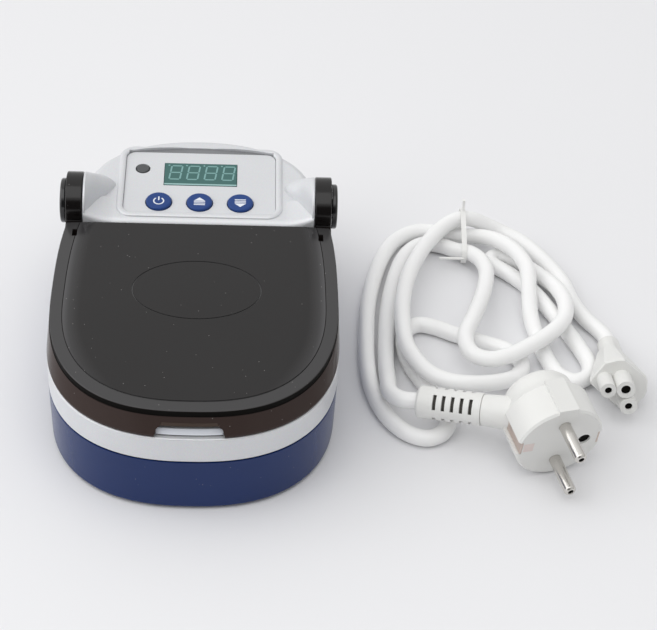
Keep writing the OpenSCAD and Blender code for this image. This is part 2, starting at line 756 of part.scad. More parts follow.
// Holes through the heater stack for the clamp screws and the sensor
module stack_holes() {
  for (p = clamp_points) translate([p[0], p[1], clamp_z - 5]) cylinder(r = 1.25 + slip, h = 40);
  translate([0, web_y, clamp_z - 5]) cylinder(r = 1.6 + slip, h = 40);
}

// Flat heater element under the tray
module heater_plate() color([0.62, 0.55, 0.42]) {
  difference() {
    prism(tray_line(-2), tray_z - heater_t, tray_z);
    stack_holes();
  }
}

// Mineral fibre pad under the heater
module insulation_pad() color([0.86, 0.83, 0.74]) {
  difference() {
    prism(tray_line(-2), tray_z - heater_t - pad_t, tray_z - heater_t);
    stack_holes();
  }
}

// Steel plate that presses the stack up, with two ears under the deck's posts
module clamp_plate() color([0.66, 0.67, 0.69]) {
  difference() {
    union() {
      prism(tray_line(-4), clamp_z, clamp_z + clamp_t);
      translate([-ear_x - 3.5, ear_y - 6, clamp_z]) cube([2 * ear_x + 7, 12, clamp_t]);
    }
    stack_holes();
    for (side = [-1, 1]) translate([side * ear_x, ear_y, clamp_z - 5]) cylinder(r = 1.25 + slip, h = 20);
  }
}

// Screws of the clamp plate: two into the tray and two into the deck's posts
module clamp_screws() color([0.7, 0.7, 0.72]) {
  for (p = clamp_points) translate([p[0], p[1], clamp_z]) screw(1.2, 2.6, 1.8, tray_z - clamp_z + 6);
  for (side = [-1, 1]) translate([side * ear_x, ear_y, clamp_z]) screw(1.2, 2.6, 1.8, clamp_t + 6);
}

// Temperature probe in the tray's middle web
module temperature_sensor() color([0.75, 0.74, 0.7]) {
  translate([0, web_y, clamp_z - 4]) cylinder(r = 1.5, h = tray_z - clamp_z + 13);
}

// Thermal cut-out against the clamp plate
module thermal_cutout() color([0.2, 0.18, 0.16]) {
  translate([8, web_y - 6, clamp_z - 5]) cube([14, 9, 5]);
}

// Power board on posts in the rear of the base
module power_board() color([0.16, 0.36, 0.16]) {
  difference() {
    translate([-power_w / 2, power_y - power_d / 2, power_z]) cube([power_w, power_d, board_t]);
    for (p = power_points) translate([p[0], p[1], power_z - 1]) cylinder(r = 1.3, h = 5);
  }
}

// Small mains transformer with its core and two windings
module transformer() color([0.55, 0.5, 0.3]) {
  translate([transformer_x, power_y + 1, power_z + board_t]) {
    translate([-core_w / 2, -core_d / 2, 0]) cube([core_w, core_d, core_h]);
    translate([-coil_w / 2, -coil_d / 2, coil_lift]) cube([coil_w, coil_d, coil_h]);
  }
}

// Relay that switches the heater
module relay() color([0.13, 0.28, 0.5]) {
  translate([relay_x, power_y - 12, power_z + board_t]) cube([relay_w, relay_d, relay_h]);
}

// Glass fuse in its two clips
module fuse() color([0.82, 0.84, 0.84]) {
  translate([fuse_x, power_y + 10, power_z + board_t]) {
    translate([0, 0, fuse_r + 1]) rotate([0, 90, 0]) cylinder(r = fuse_r, h = fuse_len);
    for (x = [1, fuse_len - clamp_w - 1]) translate([x, -fuse_r - 0.6, 0])
      cube([clamp_w, 2 * fuse_r + 1.2, fuse_r + 0.4]);
  }
}

// Screws of the power board
module power_screws() color([0.7, 0.7, 0.72]) {
  for (p = power_points) translate([p[0], p[1], power_z + board_t]) rotate([180, 0, 0])
    screw(1, 2.2, 1.4, 4.4);
}

// Flat cable from the power board up to the control board
module ribbon_cable() color([0.7, 0.7, 0.72]) {
  low = power_z + board_t;
  high = slope_z(power_y + ribbon_y) - control_drop;
  translate([power_w / 2 - 4, power_y + ribbon_y, low]) cube([1, ribbon_w, high - low - 1.5]);
}

// Inlet for the detachable lead: flanged block with a three-lobed socket
module power_inlet() color([0.07, 0.07, 0.08]) {
  difference() {
    translate([socket_x, back_y, window_z]) union() {
      translate([-inlet_w / 2, 0, -inlet_h / 2]) cube([inlet_w, 2, inlet_h]);
      translate([-inlet_w / 2 + 2.4, -inlet_depth, -inlet_h / 2 + 2])
        cube([inlet_w - 4.8, inlet_depth + eps, inlet_h - 4]);
    }
    translate([socket_x, back_y - inlet_depth + 5, window_z]) rotate([-90, 0, 0]) linear_extrude(20) {
      for (p = lead_points) translate(p) circle(4.2);
      polygon(lead_points);
    }
    for (p = lead_points) translate([socket_x + p[0], back_y - inlet_depth - 4, window_z - p[1]])
      rotate([-90, 0, 0]) cylinder(r = inlet_pin_r + pin_clear, h = inlet_depth + 2);
  }
}

// Three contact pins in the inlet
module inlet_pins() color([0.8, 0.78, 0.7]) {
  for (p = lead_points) translate([socket_x + p[0], back_y - inlet_depth - 4, window_z - p[1]])
    rotate([-90, 0, 0]) cylinder(r = inlet_pin_r, h = inlet_depth + 2);
}

// Frame of the rocker switch
module switch_frame() color([0.08, 0.08, 0.09]) {
  difference() {
    translate([-socket_x, back_y, window_z]) union() {
      translate([-switch_w / 2, 0, -switch_h / 2]) cube([switch_w, 2, switch_h]);
      translate([-switch_w / 2 + 1.4, -switch_depth, -switch_h / 2 + 1.2])
        cube([switch_w - 2.8, switch_depth + eps, switch_h - 2.4]);
    }
    translate([-socket_x - switch_w / 2 + 2.2, back_y - 8, window_z - switch_h / 2 + 2])
      cube([switch_w - 4.4, 20, switch_h - 4]);
    translate([-socket_x, back_y + rocker_y, window_z - switch_h / 2])
      cylinder(r = rocker_pin_r + pin_clear, h = switch_h);
  }
}

// Rocker on its cross pin, resting in the off position
module switch_rocker() color([0.12, 0.12, 0.13]) {
  half_w = switch_w / 2 - 2.2 - gap - slip;
  half_h = switch_h / 2 - 2 - gap;
  translate([-socket_x, back_y + rocker_y, window_z - half_h]) rotate([0, 0, rocker_turn])
    linear_extrude(2 * half_h)
    polygon([[-half_w, -1], [-3, -5], [3, -5], [half_w, -1], [half_w, 2.4], [0, 1.2], [-half_w, 2.4]]);
  translate([-socket_x, back_y + rocker_y, window_z - switch_h / 2 + 1.4])
    cylinder(r = rocker_pin_r, h = switch_h - 2.8);
}

// Children placed on the plug, with its pins along -Y and its face on y = 0
module on_plug() {
  translate(plug_face) rotate([plug_tip, plug_roll, plug_turn]) children();
}

// Children placed on the boot, with +Z towards the cord and the boot's end on z = 0
module on_boot() {
  translate(boot_end) rotate([0, boot_tip, boot_turn]) children();
}

// Children placed on the connector, with +Z towards its face and +Y up
module on_connector() {
  translate(connector_end) rotate([connector_tip + 90, 0, 0]) children();
}

// Point of a smooth curve through four route points, between the second and the third
function curve(a, b, c, d, t) =
  (2 * b + (c - a) * t + (2 * a - 5 * b + 4 * c - d) * t * t + (3 * b - a - 3 * c + d) * t * t * t) / 2;

// Points along the whole route
function route_points() = let (n = len(route), first = 2 * route[0] - route[1],
                               last = 2 * route[n - 1] - route[n - 2])
  concat([
    for (i = [0:n - 2], k = [0:route_steps - 1])
      let (before = i == 0 ? first : route[i - 1], after = i == n - 2 ? last : route[i + 2])
      curve(before, route[i], route[i + 1], after, k / route_steps)
  ], [route[n - 1]]);

// Smallest distance between parts of a line that are some points apart, less two radii
function least_gap(line, apart) = min([
  for (i = [0:len(line) - 1 - apart])
    min([for (j = [i + apart:len(line) - 1]) norm(line[i] - line[j])])
]) - 2 * cord_r;

// Length of a line of points
function line_length(line, i = 1) =
  i < len(line) ? norm(line[i] - line[i - 1]) + line_length(line, i + 1) : 0;

// Ring of points square to a direction
function ring(middle, ahead) = let (
    side = cross([0, 0, 1], ahead), s = side / norm(side), u = cross(ahead, s) / norm(ahead)
  ) [
    for (k = [0:cord_sides - 1])
      let (a = 360 * (k + 0.5) / cord_sides) middle + cord_r * (s * cos(a) + u * sin(a))
  ];

// White cord lying in its coil, one unbroken tube from the boot to the connector
module power_cord() color([0.93, 0.93, 0.92]) {
  line = route_points();
  last = len(line) - 1;
  echo(cord_length = line_length(line), cord_least_gap = least_gap(line, 8));
  loft([for (i = [0:last]) ring(line[i], line[min(i + 1, last)] - line[max(i - 1, 0)])]);
}

// Outline round the strands in the tie, grown by a margin
module tie_outline(grow) {
  hull() for (p = tie_strands) translate(p) circle(cord_r + grow, $fn = 24);
}

// Clear tie round the coil with its two twisted ends
module cord_tie() color([0.85, 0.85, 0.8]) {
  translate([tie_x - tie_w / 2, 0, 0]) rotate([90, 0, 90]) linear_extrude(tie_w) difference() {
    tie_outline(tie_room + tie_t);
    tie_outline(tie_room);
  }
  translate([tie_x - 11, tie_strands[0][0] - cord_r - tie_room - tie_t / 2, tie_strands[0][1]])
    rotate([0, 90, 0]) cylinder(r = 0.6, h = 11, $fn = 16);
  translate([tie_x, tie_strands[2][0], tie_strands[2][1] + cord_r + tie_room])
    cylinder(r = 0.6, h = 6, $fn = 16);
}

// Round body of the mains plug with its top rib, contact channels and neck
module plug_body() color([0.92, 0.92, 0.91]) {
  difference() {
    union() {
      on_plug() rotate([-90, 0, 0]) rotate_extrude() polygon([
        [0, 0], [plug_r - 0.8, 0], [plug_r, 0.8], [plug_r, disc_len - 1], [plug_r - 1.2, disc_len + 0.5],
        [plug_r - 3, disc_len + 3.5], [plug_r - 3.6, plug_len - 3], [plug_r - 5, plug_len - 0.8],
        [plug_r - 7.5, plug_len], [0, plug_len]
      ]);
      on_plug() translate([-4, 0, plug_r - 4]) cube([8, disc_len, 4 + rib_h]);
      on_boot() translate([0, 0, -boot_len - neck_len])
        cylinder(r1 = boot_r + 0.5, r2 = boot_r - 1.4, h = neck_len);
    }
    on_plug() for (side = [-1, 1]) {
      translate([side * plug_r - 2.2, -1, -clip_w / 2 - slip]) cube([4.4, disc_len, clip_w + 2 * slip]);
      translate([0, -1, side * plug_pin_z]) rotate([-90, 0, 0]) cylinder(r = plug_pin_r + pin_clear, h = 11);
    }
    on_plug() translate([earth_x, -1, 0]) rotate([-90, 0, 0]) cylinder(r = 2.6, h = 17);
  }
}

// Flexible boot behind the plug, with four rows of slits
module plug_boot() color([0.91, 0.91, 0.9]) {
  on_boot() difference() {
    union() {
      translate([0, 0, -boot_len]) cylinder(r = boot_r, h = boot_len - 1);
      translate([0, 0, -1]) cylinder(r1 = boot_r, r2 = boot_r - 1, h = 1);
    }
    for (row = [45:90:315], k = [0:4]) rotate([0, 0, row])
      translate([-3, boot_r - slot_deep, -8.4 - 3.6 * k]) cube([6, 2 * slot_deep, 1.4]);
  }
}

// Two round plug pins with dimpled tips
module plug_pins() color([0.75, 0.73, 0.7]) {
  on_plug() for (side = [-1, 1]) difference() {
    translate([0, -plug_pin_len, side * plug_pin_z]) rotate([-90, 0, 0]) union() {
      translate([0, 0, 0.8]) cylinder(r = plug_pin_r, h = plug_pin_len + 8);
      cylinder(r1 = plug_pin_r - 0.7, r2 = plug_pin_r, h = 0.8);
    }
    translate([0, -plug_pin_len - 1, side * plug_pin_z]) rotate([-90, 0, 0]) cylinder(r = 1.1, h = 2.2);
  }
}

// Earth clips lying in the channels at both sides of the plug
module plug_earth_clips() color([0.8, 0.76, 0.72]) {
  on_plug() for (side = [-1, 1])
    translate([side * (plug_r - 2.2 + clip_t / 2) - clip_t / 2, 0, -clip_w / 2])
      cube([clip_t, disc_len - 2, clip_w]);
}

// Outline of the connector's face, scaled
function connector_line(scale) = [for (p = connector_corners) p * scale];

// Three-lobed connector: tapered body, collar at the cord and three contact tubes
module connector_body() color([0.91, 0.91, 0.9]) {
  on_connector() difference() {
    union() {
      cylinder(r = collar_r, h = connector_len / 2);
      loft([
        level(connector_line(0.46), connector_len * 0.24),
        level(connector_line(0.7), connector_len * 0.55),
        level(connector_line(0.92), connector_len * 0.87),
        level(connector_line(0.99), connector_len - 1),
        level(connector_line(0.94), connector_len)
      ]);
      for (p = contacts) translate([p[0], p[1], connector_len - 2]) cylinder(r = p[2], h = tube_len + 2);
    }
    for (p = contacts) translate([p[0], p[1], connector_len - 4]) cylinder(r = p[3], h = tube_len + 5);
  }
}

// Sprung contacts deep in the connector's tubes
module connector_contacts() color([0.75, 0.7, 0.55]) {
  on_connector() for (p = contacts) translate([p[0], p[1], connector_len - 4]) difference() {
    cylinder(r = p[3] - pin_clear, h = tube_len / 2);
    translate([0, 0, 2]) cylinder(r = p[3] * 0.6, h = tube_len);
  }
}

base_shell();
rubber_feet();
case_screws();
top_housing();
lid();
hinge_pin_left();
hinge_pin_right();
panel_plate();
display_window();
display_module();
button_set();
button_up();
button_down();
status_lamp();
control_board();
key_switches();
control_screws();
wax_tray();
tray_seal();
heater_plate();
insulation_pad();
clamp_plate();
clamp_screws();
temperature_sensor();
thermal_cutout();
power_board();
transformer();
relay();
fuse();
power_screws();
ribbon_cable();
power_inlet();
inlet_pins();
switch_frame();
switch_rocker();
power_cord();
cord_tie();
plug_body();
plug_boot();
plug_pins();
plug_earth_clips();
connector_body();
connector_contacts();
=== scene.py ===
"""Looks of a dental wax heater: moulded case, smoked lid, control panel, wax tray and coiled mains lead.

Surfaces are worked out in millimetres in the part's own frame, front towards -Y and the table at z = 0, and
are brought to metres when their meshes are made.
"""

import json
import logging
import math
from dataclasses import dataclass
from enum import Enum
from typing import Callable, Sequence

import bmesh
import bpy
import numpy as np
from mathutils import Euler, Matrix, Vector

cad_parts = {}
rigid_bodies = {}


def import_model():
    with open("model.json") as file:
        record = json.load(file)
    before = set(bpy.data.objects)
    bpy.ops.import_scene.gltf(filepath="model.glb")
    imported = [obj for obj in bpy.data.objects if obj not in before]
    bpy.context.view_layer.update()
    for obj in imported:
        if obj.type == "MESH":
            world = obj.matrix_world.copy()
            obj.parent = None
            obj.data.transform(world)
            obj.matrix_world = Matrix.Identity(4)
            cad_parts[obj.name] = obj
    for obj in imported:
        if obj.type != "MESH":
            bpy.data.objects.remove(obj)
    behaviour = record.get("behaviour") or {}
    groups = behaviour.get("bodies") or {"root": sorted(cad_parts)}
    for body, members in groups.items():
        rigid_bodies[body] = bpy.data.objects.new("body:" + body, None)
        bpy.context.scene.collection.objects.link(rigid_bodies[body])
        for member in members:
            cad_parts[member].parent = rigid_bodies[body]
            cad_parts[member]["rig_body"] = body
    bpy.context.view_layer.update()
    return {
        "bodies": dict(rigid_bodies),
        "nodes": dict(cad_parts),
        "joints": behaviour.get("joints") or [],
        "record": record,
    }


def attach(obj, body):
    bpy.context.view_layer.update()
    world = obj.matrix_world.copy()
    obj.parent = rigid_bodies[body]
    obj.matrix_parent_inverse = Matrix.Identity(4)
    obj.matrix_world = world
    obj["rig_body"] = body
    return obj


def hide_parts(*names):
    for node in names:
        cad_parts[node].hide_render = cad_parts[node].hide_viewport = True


LOG = logging.getLogger("wax_heater")
MM = 0.001
Line = Callable[[float], np.ndarray]
Point = tuple[float, float, float]
Shade = tuple[float, float, float, float]
Socket = bpy.types.NodeSocket

# Fine values that all finishes share
FLAKE_SHARE = 0.13
STROKE_STRETCH = (0.06, 1, 1)
GRAIN_DEPTH = 0.0002
ROUGH_DRIFT = 0.06
BAND_SHINE = 0.22
DUST_CELLS = 260
DUST_REACH = (0.055, 0.035)
DUST_COLOUR = (0.62, 0.6, 0.58, 1)

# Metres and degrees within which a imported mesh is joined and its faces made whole
WELD = 2e-6
FLAT_ANGLE = 0.4

# Millimetres by which joined forms reach into each other
LAP = 0.1


# ---------------------------------------------------------------- surfaces


class Step(Enum):
    """How one closed form changes another."""

    JOIN = "UNION"
    CUT = "DIFFERENCE"


@dataclass(frozen=True)
class Form:
    """A closed surface in millimetres: its points and the faces that join them."""

    points: np.ndarray
    faces: list[list[int]]

    def moved(self, place: Matrix) -> "Form":
        """The same surface carried by a placing matrix."""
        m = np.array(place)
        return Form(self.points @ m[:3, :3].T + m[:3, 3], self.faces)

    def mesh(self, name: str) -> bpy.types.Mesh:
        """The surface as a mesh in metres."""
        made = bpy.data.meshes.new(name)
        made.from_pydata((self.points * MM).tolist(), [], self.faces)
        made.update()
        return made


def skin(grid: np.ndarray, closed: bool = False) -> Form:
    """Quads over a grid of rings.

    Point (k, i) is point i of ring k, and a quad joins (k, i), (k, i+1), (k+1, i+1) and (k+1, i).

    Args:
        grid: Rings of equal count, as an array of shape (rings, points, 3), counter-clockwise seen from above
            and rising.
        closed: True where the last ring joins the first one, and False where flat caps close both ends.

    Returns:
        The closed surface, facing outwards.
    """
    rings, count, _ = grid.shape
    index = np.arange(rings * count).reshape(rings, count)
    here = index if closed else index[:-1]
    above = np.roll(index, -1, axis=0) if closed else index[1:]
    quads = np.stack([here, np.roll(here, -1, axis=1), np.roll(above, -1, axis=1), above], axis=-1)
    faces = quads.reshape(-1, 4).tolist()
    if not closed:
        faces += [index[0][::-1].tolist(), index[-1].tolist()]
    return Form(grid.reshape(-1, 3), faces)


def level(line: np.ndarray, z: float | np.ndarray) -> np.ndarray:
    """A plan outline lifted to a height, or to one height for each point."""
    return np.column_stack([line, np.broadcast_to(z, len(line))])


def loft(*rings: np.ndarray) -> Form:
    """A solid through rings that have the same number of points."""
    return skin(np.stack(rings))


def prism(line: np.ndarray, low: float, high: float) -> Form:
    """An outline carried straight up from one height to another."""
    return loft(level(line, low), level(line, high))


def quarter(steps: int) -> list[tuple[float, float]]:
    """Pairs 1 - cos a and 1 - sin a along a quarter circle: the way gone inwards and the way still to rise."""
    return [(1 - math.cos(a), 1 - math.sin(a)) for a in np.linspace(0, math.pi / 2, steps)]


def stack(line: Line, *places: tuple[float, float]) -> list[np.ndarray]:
    """Rings of one outline, each at its own inset and height."""
    return [level(line(inset), z) for inset, z in places]


def hoop(line: Line, *places: tuple[float, float]) -> Form:
    """A closed ring whose section has its corners at pairs of inset and height."""
    return skin(np.stack(stack(line, *places)), closed=True)


def pillow(line: Line, low: float, high: float, below: float = 0.0, above: float = 0.0, steps: int = 7) -> Form:
    """A prism whose lower and upper edges are rounded by quarter circles.

    A ring at angle a lies inset by r (1 - sin a) at r (1 - cos a) over the bottom, and by r (1 - cos a) at
    r (1 - sin a) under the top.

    Args:
        line: Gives the outline for an inset.
        low: Height of the bottom.
        high: Height of the top.
        below: Radius of the lower edge.
        above: Radius of the upper edge.
        steps: Rings in each rounded edge.

    Returns:
        The closed solid.
    """
    turn = quarter(steps)
    lower = stack(line, *((below * s, low + below * c) for c, s in turn[:: 1 if below else steps]))
    upper = stack(line, *((above * c, high - above * s) for c, s in turn[:: 1 if above else steps]))
    return loft(*lower, *upper)


def through(points: np.ndarray, steps: int) -> np.ndarray:
    """A smooth line through points.

    Each span is a cubic through its ends, whose slope at an end joins the neighbours.

    Args:
        points: The points, as an array of shape (points, dimensions).
        steps: Parts of each span.

    Returns:
        The finer points, the last one with them.
    """
    p = np.vstack([2 * points[0] - points[1], points, 2 * points[-1] - points[-2]])
    a, b, c, d = (p[k : len(p) - 3 + k, None] for k in range(4))
    t = (np.arange(steps) / steps)[None, :, None]
    path = (2 * b + (c - a) * t + (2 * a - 5 * b + 4 * c - d) * t**2 + (3 * b - a - 3 * c + d) * t**3) / 2
    return np.vstack([path.reshape(-1, points.shape[1]), points[-1]])


def circle(radius: float, sides: int = 64, x: float = 0.0, y: float = 0.0) -> np.ndarray:
    """A round outline about a point."""
    t = np.linspace(0, 2 * math.pi, sides, endpoint=False)
    return np.column_stack([x + radius * np.cos(t), y + radius * np.sin(t)])


def disc(radius: float, x: float = 0.0, y: float = 0.0, sides: int = 64) -> Line:
    """A round outline that can be drawn in by an inset."""
    return lambda inset: circle(radius - inset, sides, x, y)


def rounded(w: float, d: float, r: float, steps: int = 10) -> Line:
    """A rectangle with round corners that can be drawn in by an inset."""

    def line(inset: float) -> np.ndarray:
        """The four quarter circles, one for each corner, at the corner's radius less the inset."""
        t = np.linspace(0, math.pi / 2, steps)
        turn = np.concatenate([t + q * math.pi / 2 for q in range(4)])
        sx = np.repeat([1, -1, -1, 1], steps) * (w / 2 - r)
        sy = np.repeat([1, 1, -1, -1], steps) * (d / 2 - r)
        radius = max(r - inset, 0.01)
        slack = min(r - inset - 0.01, 0.0)
        return np.column_stack([
            sx + np.sign(sx) * slack + radius * np.cos(turn),
            sy + np.sign(sy) * slack + radius * np.sin(turn),
        ])

    return line


def block(x0: float, x1: float, y0: float, y1: float, z0: float, z1: float) -> Form:
    """A plain box between two corners, used as a cutter."""
    return prism(np.array([[x0, y0], [x1, y0], [x1, y1], [x0, y1]]), z0, z1)


def rectangle(half: float, low: float, high: float) -> np.ndarray:
    """A rectangle about the middle line between two heights."""
    return np.array([[-half, low], [half, low], [half, high], [-half, high]])


def placed(spot: Point, turns: Point) -> Matrix:
    """A placing matrix at a spot, turned by degrees about X, Y and Z."""
    return Matrix.Translation(spot) @ Euler([math.radians(a) for a in turns]).to_matrix().to_4x4()


def carve(name: str, base: Form, steps: Sequence[tuple[Step, Form]]) -> bpy.types.Mesh:
    """Joins and cuts closed forms in order.

    Args:
        name: Name of the mesh.
        base: The form that is worked on.
        steps: Each change with the form that makes it.

    Returns:
        The mesh that is left, in metres.
    """
    scene = bpy.context.scene.collection.objects
    host = bpy.data.objects.new(name + "_host", base.mesh(name + "_host"))
    names = [f"{name}_{i}" for i in range(len(steps))]
    tools = [bpy.data.objects.new(tool, form.mesh(tool)) for tool, (_, form) in zip(names, steps)]
    for made in [host, *tools]:
        scene.link(made)
    for (kind, _), tool in zip(steps, tools):
        change = host.modifiers.new("step", "BOOLEAN")
        change.operation = kind.value
        change.solver = "MANIFOLD"
        change.object = tool
    graph = bpy.context.evaluated_depsgraph_get()
    result = bpy.data.meshes.new_from_object(host.evaluated_get(graph), depsgraph=graph)
    result.name = name
    for made in [host, *tools]:
        data = made.data
        bpy.data.objects.remove(made)
        bpy.data.meshes.remove(data)
    return result


def merged_copy(node: bpy.types.Object, name: str) -> bpy.types.Mesh:
    """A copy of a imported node's mesh with its loose triangles joined and its flat faces made whole."""
    work = bmesh.new()
    work.from_mesh(node.data)
    bmesh.ops.remove_doubles(work, verts=work.verts, dist=WELD)
    bmesh.ops.dissolve_limit(work, angle_limit=math.radians(FLAT_ANGLE), verts=work.verts, edges=work.edges)
    made = bpy.data.meshes.new(name)
    work.to_mesh(made)
    work.free()
    return made


# ---------------------------------------------------------------- finishes


class Texture(Enum):
    """What the fine relief of a finish follows."""

    MOULDED = "fine random grain of moulded plastic"
    FLAKE = "small cells of metallic paint"
    BRUSHED = "long strokes along X"
    FIBRE = "felted fibres"


@dataclass(frozen=True)
class Wiring:
    """Adds nodes to a node tree and joins them."""

    tree: bpy.types.NodeTree

    def fill(self, node: bpy.types.Node, ins: dict) -> None:
        """Gives a node's sockets constants, or joins them to other nodes' outputs."""
        for name, value in ins.items():
            if isinstance(value, bpy.types.NodeSocket):
                self.tree.links.new(value, node.inputs[name])
            else:
                node.inputs[name].default_value = value

    def add(self, kind: str, ins: dict, **settings: str) -> bpy.types.Node:
        """Adds a node.

        Args:
            kind: The node's type, without the words that all types begin with.
            ins: What goes into each socket: a constant, or another node's output.
            settings: The node's own settings.

        Returns:
            The node.
        """
        node = self.tree.nodes.new("ShaderNode" + kind)
        for name, value in settings.items():
            setattr(node, name, value)
        self.fill(node, ins)
        return node

    def mix(self, share: Socket | float, a: Socket | Shade, b: Socket | Shade, blend: str = "MIX") -> Socket:
        """Mixes colour b into colour a by a share."""
        ins = {"Factor": share, "A": a, "B": b}
        return self.add("Mix", ins, data_type="RGBA", blend_type=blend).outputs["Result"]

    def span(self, value: Socket, start: float, end: float, low: float, high: float, **settings: str) -> Socket:
        """Carries a value's range from start to end over to a range from low to high."""
        ins = {"Value": value, "From Min": start, "From Max": end, "To Min": low, "To Max": high}
        return self.add("MapRange", ins, **settings).outputs["Result"]


@dataclass(frozen=True)
class Finish:
    """A surface: its colour and gloss, how they vary, and its fine relief."""

    name: str
    colour: Point
    rough: float = 0.45
    metal: float = 0.0
    coat: float = 0.0
    clear: float = 0.0
    shine: float = 0.5
    mottle: float = 0.06
    mottle_scale: float = 60.0
    grain: float = 0.12
    grain_scale: float = 2600.0
    texture: Texture = Texture.MOULDED
    dust: float = 0.0
    shift: Point = (0, 0, 0)
    tint_and_painted_light: tuple[tuple[float, Point], ...] = ()
    band_top: float = 0.0

    def material(self) -> bpy.types.Material:
        """The finish as a node material, made once.

        Two noises read the object's own coordinates: a broad one drifts colour and roughness, and a fine one
        raises the grain. Dust lies in the middle of sparse cells.

        Returns:
            The material.
        """
        found = bpy.data.materials.get(self.name)
        if found:
            return found
        made = bpy.data.materials.new(self.name)
        made.use_nodes = True
        wires = Wiring(made.node_tree)
        place = wires.add("TexCoord", {}).outputs["Object"]
        ins = {"Vector": place, "Scale": self.mottle_scale, "Detail": 4}
        broad = wires.add("TexNoise", ins).outputs["Fac"]
        base = np.array(self.colour)
        far = base * (1 + self.mottle) + np.array(self.shift)
        colour = wires.mix(broad, *((*np.clip(c, 0, 1), 1) for c in (base * (1 - self.mottle), far)))
        shine = self.shine
        if self.tint_and_painted_light:
            colour, shine = self._tint_and_painted_light(wires, place, colour)
        if self.texture is Texture.FLAKE:
            cells = wires.add("TexVoronoi", {"Vector": place, "Scale": self.grain_scale})
            colour = wires.mix(FLAKE_SHARE, colour, cells.outputs["Color"], "SOFT_LIGHT")
        if self.dust:
            colour = self._dusted(wires, place, colour)
        stretch = STROKE_STRETCH if self.texture is Texture.BRUSHED else (1, 1, 1)
        spread = wires.add("Mapping", {"Vector": place, "Scale": stretch}).outputs["Vector"]
        detail = 6 if self.texture is Texture.FIBRE else 2
        fine = wires.add("TexNoise", {"Vector": spread, "Scale": self.grain_scale, "Detail": detail})
        ins = {"Height": fine.outputs["Fac"], "Strength": self.grain, "Distance": GRAIN_DEPTH}
        relief = wires.add("Bump", ins).outputs["Normal"]
        smoothest = max(self.rough - ROUGH_DRIFT, 0.02)
        wires.fill(made.node_tree.nodes["Principled BSDF"], {
            "Base Color": colour,
            "Metallic": self.metal,
            "Roughness": wires.span(broad, 0, 1, smoothest, self.rough + ROUGH_DRIFT),
            "Coat Weight": self.coat,
            "Coat Roughness": 0.12,
            "Transmission Weight": self.clear,
            "Specular IOR Level": shine,
            "Normal": relief,
        })
        return made

    def _tint_and_painted_light(self, wires: Wiring, place: Socket, colour: Socket) -> tuple[Socket, Socket]:
        """Colours a tinted wall by height: brown where what lies behind shows through, painted shade on the
        step's wall, a lighter ring and a thin painted highlight inside it; dulls the shine of the three lowest
        heights.

        Args:
            wires: The material's nodes.
            place: The object's coordinates.
            colour: The colour above the top of the painted heights.

        Returns:
            The colour and the shine that change with height.
        """
        low, top = self.tint_and_painted_light[0][0], self.band_top
        z = wires.add("SeparateXYZ", {"Vector": place}).outputs["Z"]
        ramp = wires.add("ValToRGB", {"Fac": wires.span(z, low * MM, top * MM, 0, 1)})
        stops = ramp.color_ramp.elements
        stops[0].color = (*self.tint_and_painted_light[0][1], 1)
        stops[1].color = (*self.tint_and_painted_light[-1][1], 0)
        for mm, shade in self.tint_and_painted_light[1:]:
            stops.new((mm - low) / (top - low)).color = (*shade, 1)
        dull, clear = (self.tint_and_painted_light[k][0] * MM for k in (2, 3))
        shine = wires.span(z, dull, clear, self.shine * BAND_SHINE, self.shine)
        return wires.mix(ramp.outputs["Alpha"], colour, ramp.outputs["Color"]), shine

    def _dusted(self, wires: Wiring, place: Socket, colour: Socket) -> Socket:
        """Mixes pale specks into a colour.

        Args:
            wires: The material's nodes.
            place: The object's coordinates.
            colour: The colour below the specks.

        Returns:
            The colour with its specks.
        """
        cells = wires.add("TexVoronoi", {"Vector": place, "Scale": DUST_CELLS})
        return wires.mix(wires.span(cells.outputs["Distance"], *DUST_REACH, 0, self.dust), colour, DUST_COLOUR)


BLUE = Finish(
    "blue_moulding", (0.0085, 0.0265, 0.115), rough=0.24, shine=0.28, mottle=0.1, mottle_scale=25, dust=0.25,
)
SILVER = Finish(
    "silver_paint", (0.68, 0.69, 0.71), rough=0.38, metal=0.3, coat=0.2, texture=Texture.FLAKE,
    grain_scale=3200, mottle=0.03, grain=0.05,
)
SMOKED = Finish(
    "smoked_plastic", (0.0045, 0.0034, 0.0034), rough=0.17, shine=0.42, mottle=0.12, mottle_scale=18,
    grain=0.03, dust=0.3, shift=(0.003, 0.003, 0.003), band_top=48.55,
    # By height: brown skirt where what lies behind shows through, painted shade on the step's wall, a lighter
    # ring, a thin painted highlight inside it, then the dark top
    tint_and_painted_light=(
        (45.25, (0.043, 0.03, 0.027)), (45.35, (0.022, 0.017, 0.016)), (47.7, (0.022, 0.017, 0.016)),
        (47.9, (0.042, 0.041, 0.042)), (48.255, (0.042, 0.041, 0.042)), (48.26, (0.075, 0.074, 0.077)),
        (48.4, (0.03, 0.029, 0.03)),
    ),
)
GLOSS_BLACK = Finish("gloss_black", (0.008, 0.008, 0.009), rough=0.14, coat=0.3, grain=0.02, dust=0.2)
PANEL_FOIL = Finish(
    "panel_foil", (0.66, 0.67, 0.69), rough=0.42, metal=0.15, texture=Texture.FLAKE, grain_scale=4200,
    mottle=0.02, grain=0.04,
)
RECESS_SHADE = Finish("painted_recess_shade", (0.2, 0.205, 0.215), rough=0.5, mottle=0.06)
DISPLAY_GLASS = Finish(
    "display_tint", (0.064, 0.148, 0.138), rough=0.4, shine=0.15, mottle=0.08, mottle_scale=160, grain=0.01,
)
DIGIT_TEAL = Finish("digit_teal", (0.19, 0.37, 0.36), rough=0.35, mottle=0.05)
DISPLAY_EDGE = Finish("display_edge", (0.31, 0.5, 0.49), rough=0.3, mottle=0.05)
BUTTON_BLUE = Finish("button_blue", (0.012, 0.048, 0.2), rough=0.38, shine=0.3, mottle=0.05, grain=0.06)
